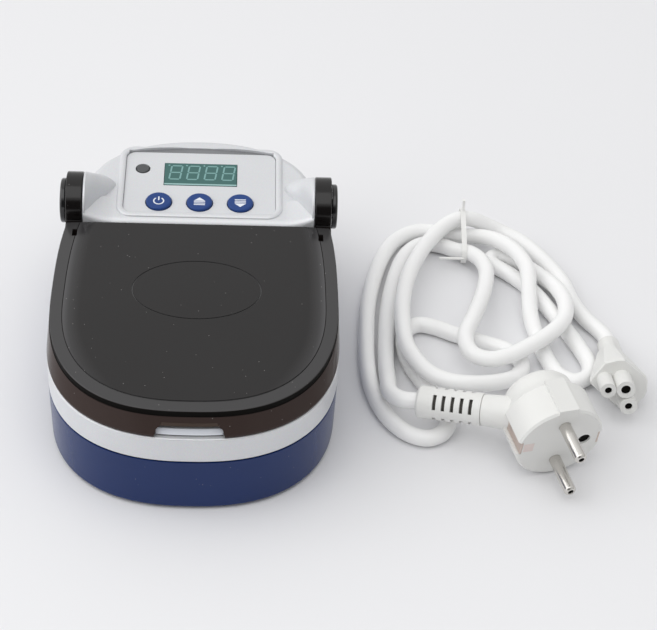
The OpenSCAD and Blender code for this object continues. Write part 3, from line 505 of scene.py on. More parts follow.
PRINT_WHITE = Finish("print_white", (0.74, 0.77, 0.83), rough=0.5, mottle=0.04, grain=0.05)
LAMP_GREY = Finish("lamp_grey", (0.07, 0.073, 0.077), rough=0.22, mottle=0.1)
RUBBER = Finish("rubber_grain", (0.02, 0.02, 0.021), rough=0.75, grain=0.3, grain_scale=1800)
STEEL = Finish(
    "bright_steel", (0.66, 0.64, 0.61), rough=0.24, metal=1.0, texture=Texture.BRUSHED, grain_scale=2400,
    grain=0.06,
)
ZINC = Finish("zinc_plate", (0.6, 0.6, 0.6), rough=0.36, metal=1.0, mottle=0.12, mottle_scale=220)
BRASS = Finish("brass", (0.62, 0.47, 0.24), rough=0.3, metal=1.0, mottle=0.08)
TRAY_COATING = Finish(
    "tray_coating", (0.055, 0.055, 0.058), rough=0.42, metal=0.25, mottle=0.12, grain=0.18, grain_scale=1500,
)
SEAL_RED = Finish("seal_silicone", (0.32, 0.07, 0.045), rough=0.6, mottle=0.08)
MICA = Finish("mica_element", (0.42, 0.33, 0.2), rough=0.5, mottle=0.25, mottle_scale=140)
FELT = Finish(
    "mineral_felt", (0.72, 0.68, 0.56), rough=0.95, mottle=0.14, texture=Texture.FIBRE, grain=0.6,
    grain_scale=700,
)
BOARD_GREEN = Finish("board_green", (0.02, 0.13, 0.045), rough=0.35, coat=0.2, mottle=0.2, mottle_scale=180)
PART_BLACK = Finish("part_black", (0.018, 0.018, 0.019), rough=0.42, mottle=0.1)
PART_BLUE = Finish("part_blue", (0.025, 0.09, 0.28), rough=0.38, mottle=0.06)
WINDING = Finish(
    "copper_winding", (0.42, 0.3, 0.1), rough=0.4, metal=0.5, texture=Texture.BRUSHED, grain=0.35,
    grain_scale=1800,
)
GLASS_TUBE = Finish("glass_tube", (0.78, 0.8, 0.8), rough=0.1, clear=0.5, mottle=0.03)
GREY_FLAT = Finish(
    "grey_flat_cable", (0.4, 0.4, 0.42), rough=0.55, texture=Texture.BRUSHED, grain=0.4, grain_scale=900,
)
WHITE_PVC = Finish(
    "white_pvc", (0.92, 0.92, 0.915), rough=0.38, coat=0.08, mottle=0.025, mottle_scale=45, grain=0.05,
    grain_scale=1600,
)
WHITE_MOULD = Finish("white_moulding", (0.77, 0.77, 0.75), rough=0.42, mottle=0.03, grain=0.08)
CLEAR_TIE = Finish("tie_film", (0.86, 0.86, 0.84), rough=0.3, mottle=0.05)
# Dark grey for painted shade in the plug boot's slits
SLIT_SHADE = Finish("painted_slit_shade", (0.05, 0.046, 0.04), rough=0.7, mottle=0.1)
# Black for painted shade: in bores, holes and dimples, on the lid's step and on the connector's contacts
SHADE_BLACK = Finish("painted_shade_black", (0.004, 0.0035, 0.003), rough=0.6, shine=0.05, mottle=0.1)
PAD_PINK = Finish("pad_pink", (0.76, 0.66, 0.63), rough=0.4, mottle=0.06)
LIP_BROWN = Finish("lip_brown", (0.055, 0.038, 0.03), rough=0.3, mottle=0.1)
FLOOR_PAPER = Finish(
    "floor_paper", (0.80, 0.80, 0.815), rough=0.9, mottle=0.008, mottle_scale=3, grain=0.02, grain_scale=900,
)
CLIP_METAL = Finish("clip_metal", (0.62, 0.52, 0.47), rough=0.34, metal=0.8, mottle=0.1)


# ---------------------------------------------------------------- pieces


@dataclass
class Workshop:
    """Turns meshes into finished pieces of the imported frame."""

    frame: dict

    def finish(
        self, mesh: bpy.types.Mesh, name: str, finish: Finish, body: str, *nodes: str, bevel: float = 0.0,
        sharp: float = 32.0,
    ) -> bpy.types.Object:
        """Makes a mesh a piece of the object.

        Args:
            mesh: The mesh in metres, in the part's frame.
            name: The piece's name.
            finish: Its surface.
            body: The body that it rides on.
            nodes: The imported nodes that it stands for.
            bevel: Width of a small bevel on its edges in millimetres, or 0.
            sharp: Angle in degrees past which an edge stays sharp.

        Returns:
            The piece.
        """
        piece = bpy.data.objects.new(name, mesh)
        bpy.context.scene.collection.objects.link(piece)
        mesh.materials.clear()
        mesh.materials.append(finish.material())
        mesh.polygons.foreach_set("material_index", np.zeros(len(mesh.polygons), dtype=np.int32))
        mesh.shade_smooth()
        mesh.set_sharp_from_angle(angle=math.radians(sharp))
        if bevel:
            edge = piece.modifiers.new("edge", "BEVEL")
            edge.width = bevel * MM
            edge.segments = 2
            edge.limit_method = "ANGLE"
            edge.angle_limit = math.radians(sharp)
            edge.use_clamp_overlap = True
        normals = piece.modifiers.new("normals", "WEIGHTED_NORMAL")
        normals.keep_sharp = True
        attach(piece, body)
        if nodes:
            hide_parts(*nodes)
        LOG.info("%s: %d faces on %s", name, len(mesh.polygons), body)
        return piece

    def shape(
        self, form: Form, name: str, finish: Finish, body: str = "housing", bevel: float = 0.0,
    ) -> bpy.types.Object:
        """Makes a worked-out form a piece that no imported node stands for."""
        return self.finish(form.mesh(name), name, finish, body, bevel=bevel)

    def copy(self, node: str, finish: Finish, bevel: float = 0.0) -> bpy.types.Object:
        """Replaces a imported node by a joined, smoothly shaded copy with fine bevels.

        Args:
            node: The node.
            finish: Its surface.
            bevel: Width of the bevels in millimetres, or 0.

        Returns:
            The piece.
        """
        source = self.frame["nodes"][node]
        name = node + "_smooth"
        return self.finish(merged_copy(source, name), name, finish, source["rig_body"], node, bevel=bevel)

    def copies(self, *rows: tuple[str, Finish, float]) -> list[bpy.types.Object]:
        """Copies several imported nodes, each with its own finish and bevel."""
        return [self.copy(*row) for row in rows]


@dataclass(frozen=True)
class Outlines:
    """Plan outlines of the case: two superellipses of one width that meet at the widest line."""

    half_width: float = 56.5
    front: float = 57.0
    rear: float = 113.0
    widest_y: float = -28.0
    hump_half: float = 47.2
    hump_front: float = 30.5
    hump_mid: float = 50.0
    hump_rear: float = 84.6
    front_power: float = 2.4
    rear_power: float = 3.1
    tray_size: Point = (43.0, 43.5, 46.0)
    sides: int = 256

    def egg(self, hw: float, front: float, rear: float, nf: float, nr: float, cy: float) -> np.ndarray:
        """An outline x = hw |cos t|^(2/n), y = cy + l |sin t|^(2/n), with other l and n in front and behind."""
        t = np.linspace(0, 2 * math.pi, self.sides, endpoint=False)
        c, s = np.cos(t), np.sin(t)
        c[np.abs(c) < 1e-9] = 0
        s[np.abs(s) < 1e-9] = 0
        n = np.where(s < 0, nf, nr)
        length = np.where(s < 0, front, rear)
        return np.column_stack([
            hw * np.sign(c) * np.abs(c) ** (2 / n),
            cy + length * np.sign(s) * np.abs(s) ** (2 / n),
        ])

    def body(self, inset: float) -> np.ndarray:
        """The case's outline drawn in by an inset."""
        return self.egg(
            self.half_width - inset, self.front - inset, self.rear - inset, self.front_power, self.rear_power,
            self.widest_y,
        )

    def front_strip(self, outer: float, inner: float, half: float) -> np.ndarray:
        """Strip along the front between two insets of the case.

        Args:
            outer: Inset of its front edge.
            inner: Inset of its back edge.
            half: Half of its width.

        Returns:
            Its outline, counter-clockwise.
        """
        x = np.linspace(-half, half, 41)
        edges = []
        for inset in (outer, inner):
            line = self.body(inset)
            line = line[line[:, 1] < self.widest_y]
            line = line[np.argsort(line[:, 0])]
            edges.append(np.column_stack([x, np.interp(x, line[:, 0], line[:, 1])]))
        return np.vstack([edges[0], edges[1][::-1]])

    def hump(self, inset: float) -> np.ndarray:
        """The raised rear part's outline drawn in by an inset."""
        front, rear = self.hump_mid - self.hump_front, self.hump_rear - self.hump_mid
        return self.egg(self.hump_half - inset, front - inset, rear - inset, 14, 2.2, self.hump_mid)

    def tray(self, grow: float) -> np.ndarray:
        """The wax tray's outline grown by a margin."""
        return self.egg(*(size + grow for size in self.tray_size), self.front_power, 4, self.widest_y)


@dataclass(frozen=True)
class Levels:
    """Heights and places that several pieces share, and the sloping panel's frame."""

    foot: float = 2.0
    floor: float = 4.4
    boss_top: float = 21.5
    seam: float = 25.5
    ledge: float = 37.0
    deck: float = 39.5
    lid_low: float = 37.3
    border: float = 46.3
    lid_top: float = 48.6
    face: float = 48.9
    tilt: float = 4.0
    axis_y: float = 43.0
    axis_z: float = 49.5
    pin_hole_r: float = 3.05
    button_pitch: float = 16.8
    button_v: float = 12.9
    display_v: float = 30.9
    lamp_x: float = -24.3
    lamp_v: float = 34.1

    def on_face(self, x: float, v: float, lift: float) -> Matrix:
        """Places a piece on the sloping panel, v up the slope and z along its normal."""
        slope = Matrix.Rotation(math.radians(self.tilt), 4, "X")
        return Matrix.Translation((0, Outlines.hump_front, self.face)) @ slope @ Matrix.Translation((x, v, lift))

    def slope(self, y: np.ndarray) -> np.ndarray:
        """Height of the sloping face at a depth."""
        return self.face + (y - Outlines.hump_front) * math.tan(math.radians(self.tilt))

    def along_axis(self, x: float) -> Matrix:
        """Places a form that stands on z = 0 along +X on the hinge line."""
        return Matrix.Translation((x, self.axis_y, self.axis_z)) @ Matrix.Rotation(math.pi / 2, 4, "Y")


OUT = Outlines()
LEV = Levels()


@dataclass
class Case:
    """Blue lower tub and silver upper housing with the parts that hold them."""

    shop: Workshop
    wall: float = 2.2
    deck_inset: float = 3.4
    hump_edge: float = 3.6
    dome_r: float = 11.8
    dome_len: float = 12.5
    bead_w: float = 2.9
    bead_h: float = 0.8
    plate_w: float = 62.6
    plate_d: float = 38.9
    plate_v: float = 25.4
    post_r: float = 4.2
    upper_post_r: float = 3.6
    screw_r: float = 1.7
    head_r: float = 3.2
    head_top: float = 6.6
    foot_r: float = 6.0
    foot_top: float = 2.6
    slot_pitch: float = 6.0
    back_wall: tuple[float, ...] = (-27, 27, 79.4, 82)
    window: tuple[float, ...] = (-25, 25, 82, 92, 5, 22)
    inlet: tuple[float, ...] = (4.2, 21.8, 70, 92, 7.3, 19.7)
    switch: tuple[float, ...] = (-22.3, -3.7, 70, 92, 7, 20)
    collar_r: float = 11.9
    collar_t: float = 0.9
    collar_edge: float = 0.3
    collar_x: tuple[float, float] = (-47.1, 46.2)
    pin_depth: float = 4.3
    pin_x: tuple[float, float] = (-47.4, 43.1)
    eye_room_r: float = 12.3
    eye_room_t: float = 7.3
    eye_room_x: tuple[float, float] = (-54.5, 47.2)
    display_hole: tuple[float, float] = (15.3, 7.2)
    button_hole_r: float = 6.9
    lamp_hole_r: float = 3.1
    notch_half: float = 12.4
    sliver_rise: float = 3.0
    sliver_half: float = 30.5
    posts: tuple[tuple[float, float], ...] = ((43.94, -56), (-43.94, -56), (39.93, 56), (-39.93, 56))
    feet: tuple[tuple[float, float], ...] = ((34, -46), (-34, -46), (30, 46), (-30, 46))

    def build(self) -> None:
        """Makes and dresses the two housings, the feet and the screws."""
        self.tub()
        self.upper()
        self.trim()
        self.shop.copies(("rubber_feet", RUBBER, 0.3), ("case_screws", ZINC, 0.2))

    def tub(self) -> None:
        """The tub: a tapered loft with a round bottom edge and drawn-in seam, hollowed, windowed and slotted."""
        low = LEV.foot - 0.8
        rings = stack(OUT.body, *((0.6 + 0.9 * s, low + 1.2 * c) for c, s in quarter(7)))
        lips = ((0.03, 0.8), (0.1, 0.5), (0.3, 0.38), (1.4, 0.38))
        rings += stack(OUT.body, *((inset, LEV.seam - under) for inset, under in lips))
        hollow = stack(
            OUT.body, (self.wall + 2, LEV.floor), (self.wall + 0.6, LEV.floor + 2), (self.wall, LEV.seam + 1),
        )
        back_wall = block(*self.back_wall, LEV.floor - LAP, LEV.boss_top + 1)
        steps = [(Step.CUT, loft(*hollow)), (Step.JOIN, back_wall)]
        for kind, spots, radius, sides, low, high in (
            (Step.JOIN, self.posts, self.post_r, 32, LEV.floor - LAP, LEV.boss_top),
            (Step.CUT, self.posts, self.screw_r, 24, 1, LEV.seam),
            (Step.CUT, self.posts, self.head_r, 32, 1, self.head_top),
            (Step.CUT, self.feet, self.foot_r, 48, 1, self.foot_top),
        ):
            steps += [(kind, prism(circle(radius, sides, *spot), low, high)) for spot in spots]
        cuts = [(x - 1, x + 1, 31, 55, 1, 6) for x in np.arange(-4, 5) * self.slot_pitch]
        cuts += [self.window, self.inlet, self.switch]
        steps += [(Step.CUT, block(*cut)) for cut in cuts]
        mesh = carve("base_tub", loft(*rings), steps)
        self.shop.finish(mesh, "base_tub", BLUE, "housing", "base_shell")

    def hump_rings(self, inset: float, low: float, drop: float) -> list[np.ndarray]:
        """Rings of the raised rear part: straight walls that turn by a quarter circle into the sloping face."""
        rings = [level(OUT.hump(inset), low)]
        for c, s in quarter(12):
            line = OUT.hump(inset + self.hump_edge * c)
            rings.append(level(line, LEV.slope(line[:, 1]) - drop - self.hump_edge * s))
        return rings

    def bead(self) -> Form:
        """The round ridge about the panel: a half ellipse carried along a rounded rectangle."""
        line = rounded(self.plate_w + 2 * self.bead_w, self.plate_d + 2 * self.bead_w, 6.5, 16)
        sweep = np.linspace(0, math.pi, 13)
        arch = [(self.bead_w / 2 * (1 - math.cos(a)), self.bead_h * math.sin(a)) for a in sweep]
        return hoop(line, (0, -1.5), *arch, (self.bead_w, -1.5)).moved(LEV.on_face(0, self.plate_v, 0))

    def sliver(self, shrink: float, low: float, high: float) -> Form:
        """Bowed sliver behind the panel plate: an arc over a straight edge.

        Args:
            shrink: Margin that the outline is drawn in by.
            low: Its bottom, along the panel's normal.
            high: Its top.

        Returns:
            The closed form.
        """
        rise, half = self.sliver_rise, self.sliver_half
        bow = (half * half + rise * rise) / (2 * rise)
        t = np.linspace(-1, 1, 48) * math.asin((half - shrink) / bow)
        arc = np.column_stack([-(bow - shrink) * np.sin(t), (bow - shrink) * np.cos(t)])
        line = np.vstack([arc, [[arc[-1, 0], arc[-1, 1] - 3], [arc[0, 0], arc[0, 1] - 3]]])
        return prism(line, low, high).moved(LEV.on_face(0, self.plate_v + self.plate_d / 2 + rise - bow, 0))

    def recess(self) -> list[tuple[Step, Form]]:
        """Cuts of the panel's place: the plate's rectangle and the bowed sliver behind it."""
        plate = prism(rounded(self.plate_w + 0.4, self.plate_d + 0.4, 4)(0), 0, 9)
        return [
            (Step.CUT, plate.moved(LEV.on_face(0, self.plate_v, -1.4))),
            (Step.CUT, self.sliver(0, -0.7, 9)),
        ]

    def dome(self, side: int) -> Form:
        """Dome beside the hinge: circles that shrink and move back from the hinge eye to a blunt point."""
        table = np.array([
            [0, 0, 1], [0.1, 1, 0.945], [0.2, 2.3, 0.864], [0.33, 4.4, 0.737], [0.47, 6.5, 0.602],
            [0.65, 8.2, 0.458], [0.85, 9.5, 0.28], [0.95, 10.2, 0.14], [1, 10.5, 0.03],
        ])
        rings = [
            level(circle(self.dome_r * r, 96, 0, back), self.dome_len * s) for s, back, r in through(table, 4)
        ]
        eye = Matrix.Translation((side * OUT.hump_half, LEV.axis_y, LEV.axis_z))
        return loft(*rings).moved(eye @ Matrix.Rotation(-side * math.pi / 2, 4, "Y"))

    def ramp(self, side: int) -> Form:
        """Rise in front of a dome: the panel's face lifted by the square of the way to the hinge eye.

        Each ring is a section across the hinge line, whose front edge is rounded and sharpens towards the eye.

        Args:
            side: -1 for the left dome and 1 for the right one.

        Returns:
            The closed form.
        """
        inner, outer, front = 34.0, 46.9, OUT.hump_front + 0.15
        edge = front + 3.6 * np.linspace(0, 1, 14) ** 1.6
        y = np.concatenate([edge, np.linspace(front + 4.2, LEV.axis_y + 2, 12)])
        rings = []
        for x in np.linspace(*sorted((side * inner, side * outer)), 36):
            u = (abs(x) - inner) / (outer - inner)
            r = 3.6 - 2.0 * u
            short = np.clip(r - (y - front), 0, r)
            lift = 3.4 * u**2 * (1 + 0.03 * (y - front))
            top = LEV.slope(y) - 0.06 + lift - (r - np.sqrt(r * r - short * short))
            loop_y = np.concatenate([[front, y[-1]], y[::-1]])
            loop_z = np.concatenate([[LEV.ledge, LEV.ledge], top[::-1]])
            rings.append(np.column_stack([np.full(len(loop_y), x), loop_y, loop_z]))
        return loft(*rings)

    def upper(self) -> None:
        """The upper housing: band, ledge, deck and raised rear, hollowed, then domes, posts and cut-outs."""
        turn, under, inset = quarter(6), LEV.ledge - self.wall, self.deck_inset + 0.15
        band = stack(
            OUT.body, (1.4, LEV.seam + 0.3), (0.2, LEV.seam + 0.3), (0, LEV.seam + 0.6),
            *((0.8 * c, LEV.ledge - 0.8 * s) for c, s in turn),
        )
        deck = stack(
            OUT.body, (self.deck_inset, LEV.ledge - 1),
            *((inset + 0.6 * c, LEV.deck - 0.6 * s) for c, s in turn),
        )
        bed = prism(rounded(self.plate_w + 2, self.plate_d + 3, 8)(0), 0, 2.9)
        steps = [
            (Step.JOIN, loft(*deck)),
            (Step.JOIN, loft(*self.hump_rings(0, LEV.ledge - 1, 0))),
            (Step.CUT, prism(OUT.body(self.wall), LEV.seam - 1, under)),
            (Step.CUT, prism(OUT.body(self.deck_inset + self.wall), under - LAP, LEV.deck - self.wall)),
            (Step.CUT, loft(*self.hump_rings(self.wall, under - LAP, self.wall))),
            (Step.JOIN, self.bead()),
            (Step.JOIN, bed.moved(LEV.on_face(0, self.plate_v, -4.4))),
        ]
        steps += [(Step.JOIN, form(side)) for form in (self.ramp, self.dome) for side in (-1, 1)]
        collar = pillow(disc(self.collar_r, sides=96), 0, self.collar_t, self.collar_edge, self.collar_edge)
        steps += [(Step.JOIN, collar.moved(LEV.along_axis(x))) for x in self.collar_x]
        for spot in self.posts:
            steps.append((Step.JOIN, prism(circle(self.upper_post_r, 32, *spot), LEV.boss_top, under + LAP)))
        steps.append((Step.CUT, prism(OUT.tray(0.2), 16.2, LEV.deck + 5)))
        steps += self.recess()
        w, d = self.display_hole
        holes = [(rectangle(w, -d, d), 0, LEV.display_v)]
        holes += [(circle(self.button_hole_r), i * LEV.button_pitch, LEV.button_v) for i in (-1, 0, 1)]
        holes.append((circle(self.lamp_hole_r), LEV.lamp_x, LEV.lamp_v))
        steps += [(Step.CUT, prism(line, 0, 10).moved(LEV.on_face(x, v, -6))) for line, x, v in holes]
        for radius, sides, depth, starts in (
            (LEV.pin_hole_r, 48, self.pin_depth, self.pin_x),
            (self.eye_room_r, 96, self.eye_room_t, self.eye_room_x),
        ):
            form = prism(circle(radius, sides), 0, depth)
            steps += [(Step.CUT, form.moved(LEV.along_axis(x))) for x in starts]
        mesh = carve("upper_housing", loft(*band), steps)
        self.shop.finish(mesh, "upper_housing", SILVER, "housing", "top_housing")

    def trim(self) -> None:
        """Pieces of painted light and shade: a grey floor of painted shade in the sliver behind the panel, a
        black ring of painted shade in the seam's gap, and behind the lid's finger notch a pale step of painted
        light over a black gap of painted shade.
        """
        corners = ((0.7, -0.45), (0.7, 0.35), (1.3, 0.35), (1.3, -0.45))
        seam = hoop(OUT.body, *((inset, LEV.seam + z) for inset, z in corners))
        step = loft(
            level(OUT.front_strip(1.9, 3.7, self.notch_half), LEV.ledge + 0.6),
            level(OUT.front_strip(3.3, 3.7, self.notch_half), LEV.deck),
        )
        gap = prism(OUT.front_strip(2.1, 3.6, self.notch_half), LEV.ledge - 0.02, LEV.ledge + 0.6)
        # Darker grey floor in the sliver: painted shade
        self.shop.shape(self.sliver(0.1, -0.75, -0.5), "panel_sliver_shade", RECESS_SHADE)
        # Black ring in the seam's groove: painted shade under the band
        self.shop.shape(seam, "seam_gap_shade", RUBBER)
        # Pale step in place of the silver wall: painted light
        self.shop.shape(step, "notch_step_lit", PRINT_WHITE)
        # Black strip under the step: painted shade in the corner
        self.shop.shape(gap, "notch_gap_shade", RUBBER)


@dataclass
class Lid:
    """Smoked lid with its raised middle, finger notch, slots and hinge eyes, and the hinge pins."""

    shop: Workshop
    wall: float = 2.2
    step: float = 45.4
    edge: tuple[float, ...] = (55.9, 67.6, 99.0, 2.6, 2.7, -13.8)
    flat: tuple[float, ...] = (50.9, 58.8, 95.5, 2.5, 2.7, -17.4)
    rim: float = 48.0
    slope: float = 0.25
    groove: float = 0.6
    crown: float = 0.33
    crown_run: float = 11.0
    notch_w: float = 26.0
    notch_h: float = 4.8
    eye_r: float = 12.0
    eye_t: float = 6.7
    eye_x: float = 47.5
    back: float = 29.9
    soft: float = 0.4
    slot_x: float = 49.8
    slot: tuple[float, ...] = (21, 25.5, 42, 56)
    arm_len: float = 26.0
    eye_edge: float = 0.5
    oval_size: tuple[float, float] = (25.5, 18.0)
    oval_at: tuple[float, float] = (0.5, -12.0)

    def build(self) -> None:
        """Makes and dresses the lid and the two pins."""
        self.shell()
        self.shop.copies(("hinge_pin_left", GLOSS_BLACK, 0.4), ("hinge_pin_right", GLOSS_BLACK, 0.4))

    def top_line(self, part: float, grow: float = 0.0) -> np.ndarray:
        """A line on the lid's raised top.

        Args:
            part: 0 at the raised top's edge, 1 where its flat middle begins.
            grow: How far the line is moved outwards.

        Returns:
            The line's points.
        """
        edge, flat = np.array(self.edge), np.array(self.flat)
        hw, front, rear, nf, nr, cy = edge + part * (flat - edge)
        return OUT.egg(hw + grow, front + grow, rear + grow, nf, nr, cy)

    def rim_line(self, grow: float) -> np.ndarray:
        """The raised top's edge moved outwards."""
        return self.top_line(0, grow)

    def outer(self) -> Form:
        """Skirt that leans in to a step, a ring on the raised top, and a middle that falls to both sides."""
        low, high = LEV.lid_low, self.rim + self.slope
        rings = stack(OUT.body, (0.45, low), (0.15, low + 0.3), (0, low + 1.2))
        rings += stack(
            self.rim_line, (0.25, self.step), (0.02, self.step - 0.1),
            *((-self.soft * c, self.rim - self.soft * s) for c, s in quarter(9)),
        )
        side = np.abs(self.top_line(1)[:, 0] / self.flat[0]) ** 3
        drop, floor = self.crown * side, high - self.groove * side
        rings += [level(self.top_line(part), z) for part, z in ((0.94, high), (0.95, floor), (0.99, floor))]
        for u in np.linspace(0, 1, 9):
            rings.append(level(self.top_line(1, -self.crown_run * u), LEV.lid_top - drop * (1 - u) ** 2))
        return loft(*rings)

    def inner(self) -> Form:
        """Room under the lid, which follows the outside."""
        return loft(
            *stack(OUT.body, (self.wall, LEV.lid_low - 1), (self.wall, LEV.deck + 0.3)),
            *stack(self.rim_line, (-self.wall, self.step), (-self.wall - 0.6, self.rim - self.wall)),
            level(self.top_line(1), LEV.lid_top - self.wall),
        )

    def mouth(self) -> Form:
        """The finger notch: a low opening with sloping upper corners, cut in from the front."""
        w, h = self.notch_w / 2, self.notch_h
        right = [[w, -1], [w, 1], [w - 0.7, h - 1.4], [w - 2.2, h]]
        line = np.array([[-w, -1], *right, *([-x, y] for x, y in right[:0:-1])])
        place = Matrix.Translation((0, -57, LEV.lid_low)) @ Matrix.Rotation(math.pi / 2, 4, "X")
        return prism(line, 0, 57).moved(place)

    def oval(self, inset: float) -> np.ndarray:
        """The plain oval on the lid's top: an ellipse drawn in by an inset."""
        return circle(1, 160) * (np.array(self.oval_size) - inset) + self.oval_at

    def shell(self) -> None:
        """The lid as one moulding, a black sheet of painted shade on the wall of its step, and the notch's lip.
        """
        behind = (Step.CUT, block(-113, 113, self.back, 230, 0, 100))
        high = self.rim - 0.35
        # A black sheet just outside the step's wall: painted shade along the step
        wall = hoop(self.rim_line, (0.04, self.step), (0.04, high), (-0.3, high), (-0.3, self.step))
        self.shop.finish(carve("lid_step", wall, [behind]), "lid_step", SHADE_BLACK, "lid")
        steps = [(Step.CUT, self.inner()), behind]
        starts = (-self.eye_x - self.eye_t, self.eye_x)
        eye = pillow(disc(self.eye_r, sides=128), 0, self.eye_t, self.eye_edge, self.eye_edge)
        for x in starts:
            arm = block(x, x + self.eye_t, LEV.axis_y - self.arm_len, LEV.axis_y, LEV.lid_low, LEV.border)
            steps += [(Step.JOIN, arm), (Step.JOIN, eye.moved(LEV.along_axis(x)))]
        steps.append((Step.CUT, prism(OUT.body(self.wall), LEV.lid_low - 1, LEV.deck + 0.3)))
        hole = prism(circle(LEV.pin_hole_r, 48), -self.eye_t, self.eye_t)
        for x, slot in zip(starts, (-self.slot_x, self.slot_x)):
            steps.append((Step.CUT, hole.moved(LEV.along_axis(x + self.eye_t / 2))))
            steps.append((Step.CUT, block(slot - 1, slot + 1, *self.slot)))
        corners = ((0.6, 1), (0.5, -0.3), (0.1, -0.3), (0, 1))
        steps.append((Step.CUT, self.mouth()))
        steps.append((Step.CUT, hoop(self.oval, *((inset, LEV.lid_top + z) for inset, z in corners))))
        self.shop.finish(carve("smoked_lid", self.outer(), steps), "smoked_lid", SMOKED, "lid", "lid", sharp=24)
        half, low = self.notch_w / 2 - 0.6, LEV.lid_low + self.notch_h
        lip = loft(
            level(OUT.front_strip(1.7, 3.2, half), low + 0.05),
            level(OUT.front_strip(2.25, 3.2, half - 0.5), low + 1.2),
        )
        self.shop.shape(lip, "notch_lip", LIP_BROWN, "lid")


@dataclass
class Panel:
    """Panel plate, display with its digits, buttons with their signs, lamp, and the board behind them."""

    shop: Workshop
    glass_top: float = -0.2
    cap_top: float = 0.7
    digit_w: float = 4.5
    digit_h: float = 8.6
    digit_pitch: float = 7.35
    stroke: float = 0.66
    lean: float = 0.12
    print_t: float = 0.12
    print_lift: float = 0.02
    first: tuple[float, float] = (0.6, 0.95)
    point_r: float = 0.42
    sign_r: tuple[float, float] = (1.75, 2.3)
    sign_gap: float = 0.6
    stripes: Point = (-0.2, -1.12, -2.05)

    def build(self) -> None:
        """Makes and dresses the whole panel."""
        self.shop.copies(
            ("panel_plate", PANEL_FOIL, 0.12), ("display_window", DISPLAY_GLASS, 0.1),
            ("status_lamp", LAMP_GREY, 0.25),
            *(("button_" + name, BUTTON_BLUE, 0.3) for name in ("set", "up", "down")),
        )
        self.digits()
        self.signs()
        self.shop.copies(
            ("display_module", PRINT_WHITE, 0.2), ("control_board", BOARD_GREEN, 0.0),
            ("key_switches", PART_BLACK, 0.2), ("control_screws", ZINC, 0.15),
        )

    def print_flat(
        self, shapes: Sequence[np.ndarray], lift: float, place: Matrix, name: str, finish: Finish,
        body: str = "housing",
    ) -> None:
        """Lays thin printed outlines on a surface.

        Args:
            shapes: Convex outlines, counter-clockwise, in the surface's own plane.
            lift: Height of the print's top over the place.
            place: The surface's placing matrix.
            name: The piece's name.
            finish: Its surface.
            body: The body that it rides on.
        """
        forms = [prism(s, lift - self.print_t, lift).moved(place) for s in shapes]
        offsets = np.cumsum([0] + [len(f.points) for f in forms])
        faces = [[i + int(o) for i in face] for f, o in zip(forms, offsets) for face in f.faces]
        self.shop.shape(Form(np.vstack([f.points for f in forms]), faces), name, finish, body)

    def bar(self, x0: float, y0: float, x1: float, y1: float) -> np.ndarray:
        """One pointed stroke of a digit between two ends, leaning with its height."""
        a, b = np.array([x0, y0]), np.array([x1, y1])
        along = (b - a) / np.linalg.norm(b - a)
        across = np.array([-along[1], along[0]]) * self.stroke / 2
        tip = along * self.stroke / 2
        line = np.array([a, a + tip - across, b - tip - across, b, b - tip + across, a + tip + across])
        line[:, 0] += line[:, 1] * self.lean
        return line

    def digits(self) -> None:
        """Four eights of seven strokes each, their points, and the pale lower edge of the glass."""
        w, h, gap = self.digit_w / 2, self.digit_h / 2, 0.14
        across = [(-w + gap, y, w - gap, y) for y in (h, 0, -h)]
        upright = [(x, y + gap, x, y + h - gap) for y in (0, -h) for x in (-w, w)]
        strokes, points = [], []
        for k in range(4):
            middle = np.array([self.first[0] + (k - 1.5) * self.digit_pitch, self.first[1]])
            strokes += [middle + self.bar(*ends) for ends in across + upright]
            points.append(circle(self.point_r, 16, middle[0] - 2.9, middle[1] + h + 0.3))
        place, lift = LEV.on_face(0, LEV.display_v, 0), self.glass_top + self.print_lift
        self.print_flat(strokes + points, lift, place, "digit_strokes", DIGIT_TEAL)
        self.print_flat([rectangle(15.05, -6.95, -6.15)], lift, place, "display_edge", DISPLAY_EDGE)

    def signs(self) -> None:
        """A standby sign on the first button, and striped arrows up and down on the others."""
        lift = self.cap_top + self.print_lift
        t = np.linspace(math.pi / 2 + self.sign_gap, math.pi * 2.5 - self.sign_gap, 33)
        near, far = (radius * np.column_stack([np.cos(t), np.sin(t)]) for radius in self.sign_r)
        standby = [*np.stack([near[:-1], far[:-1], far[1:], near[1:]], axis=1), rectangle(0.28, 0.4, 2.7)]
        head = np.array([[-2.4, 0.6], [2.4, 0.6], [0, 2.7]])
        up = [head, *(rectangle(2.3, y, y + 0.5) for y in self.stripes)]
        down = [-s for s in up]
        for i, (name, shapes) in enumerate((("set", standby), ("up", up), ("down", down))):
            place = LEV.on_face((i - 1) * LEV.button_pitch, LEV.button_v - 0.5, 0)
            self.print_flat(shapes, lift, place, f"sign_{name}", PRINT_WHITE, "button_" + name)


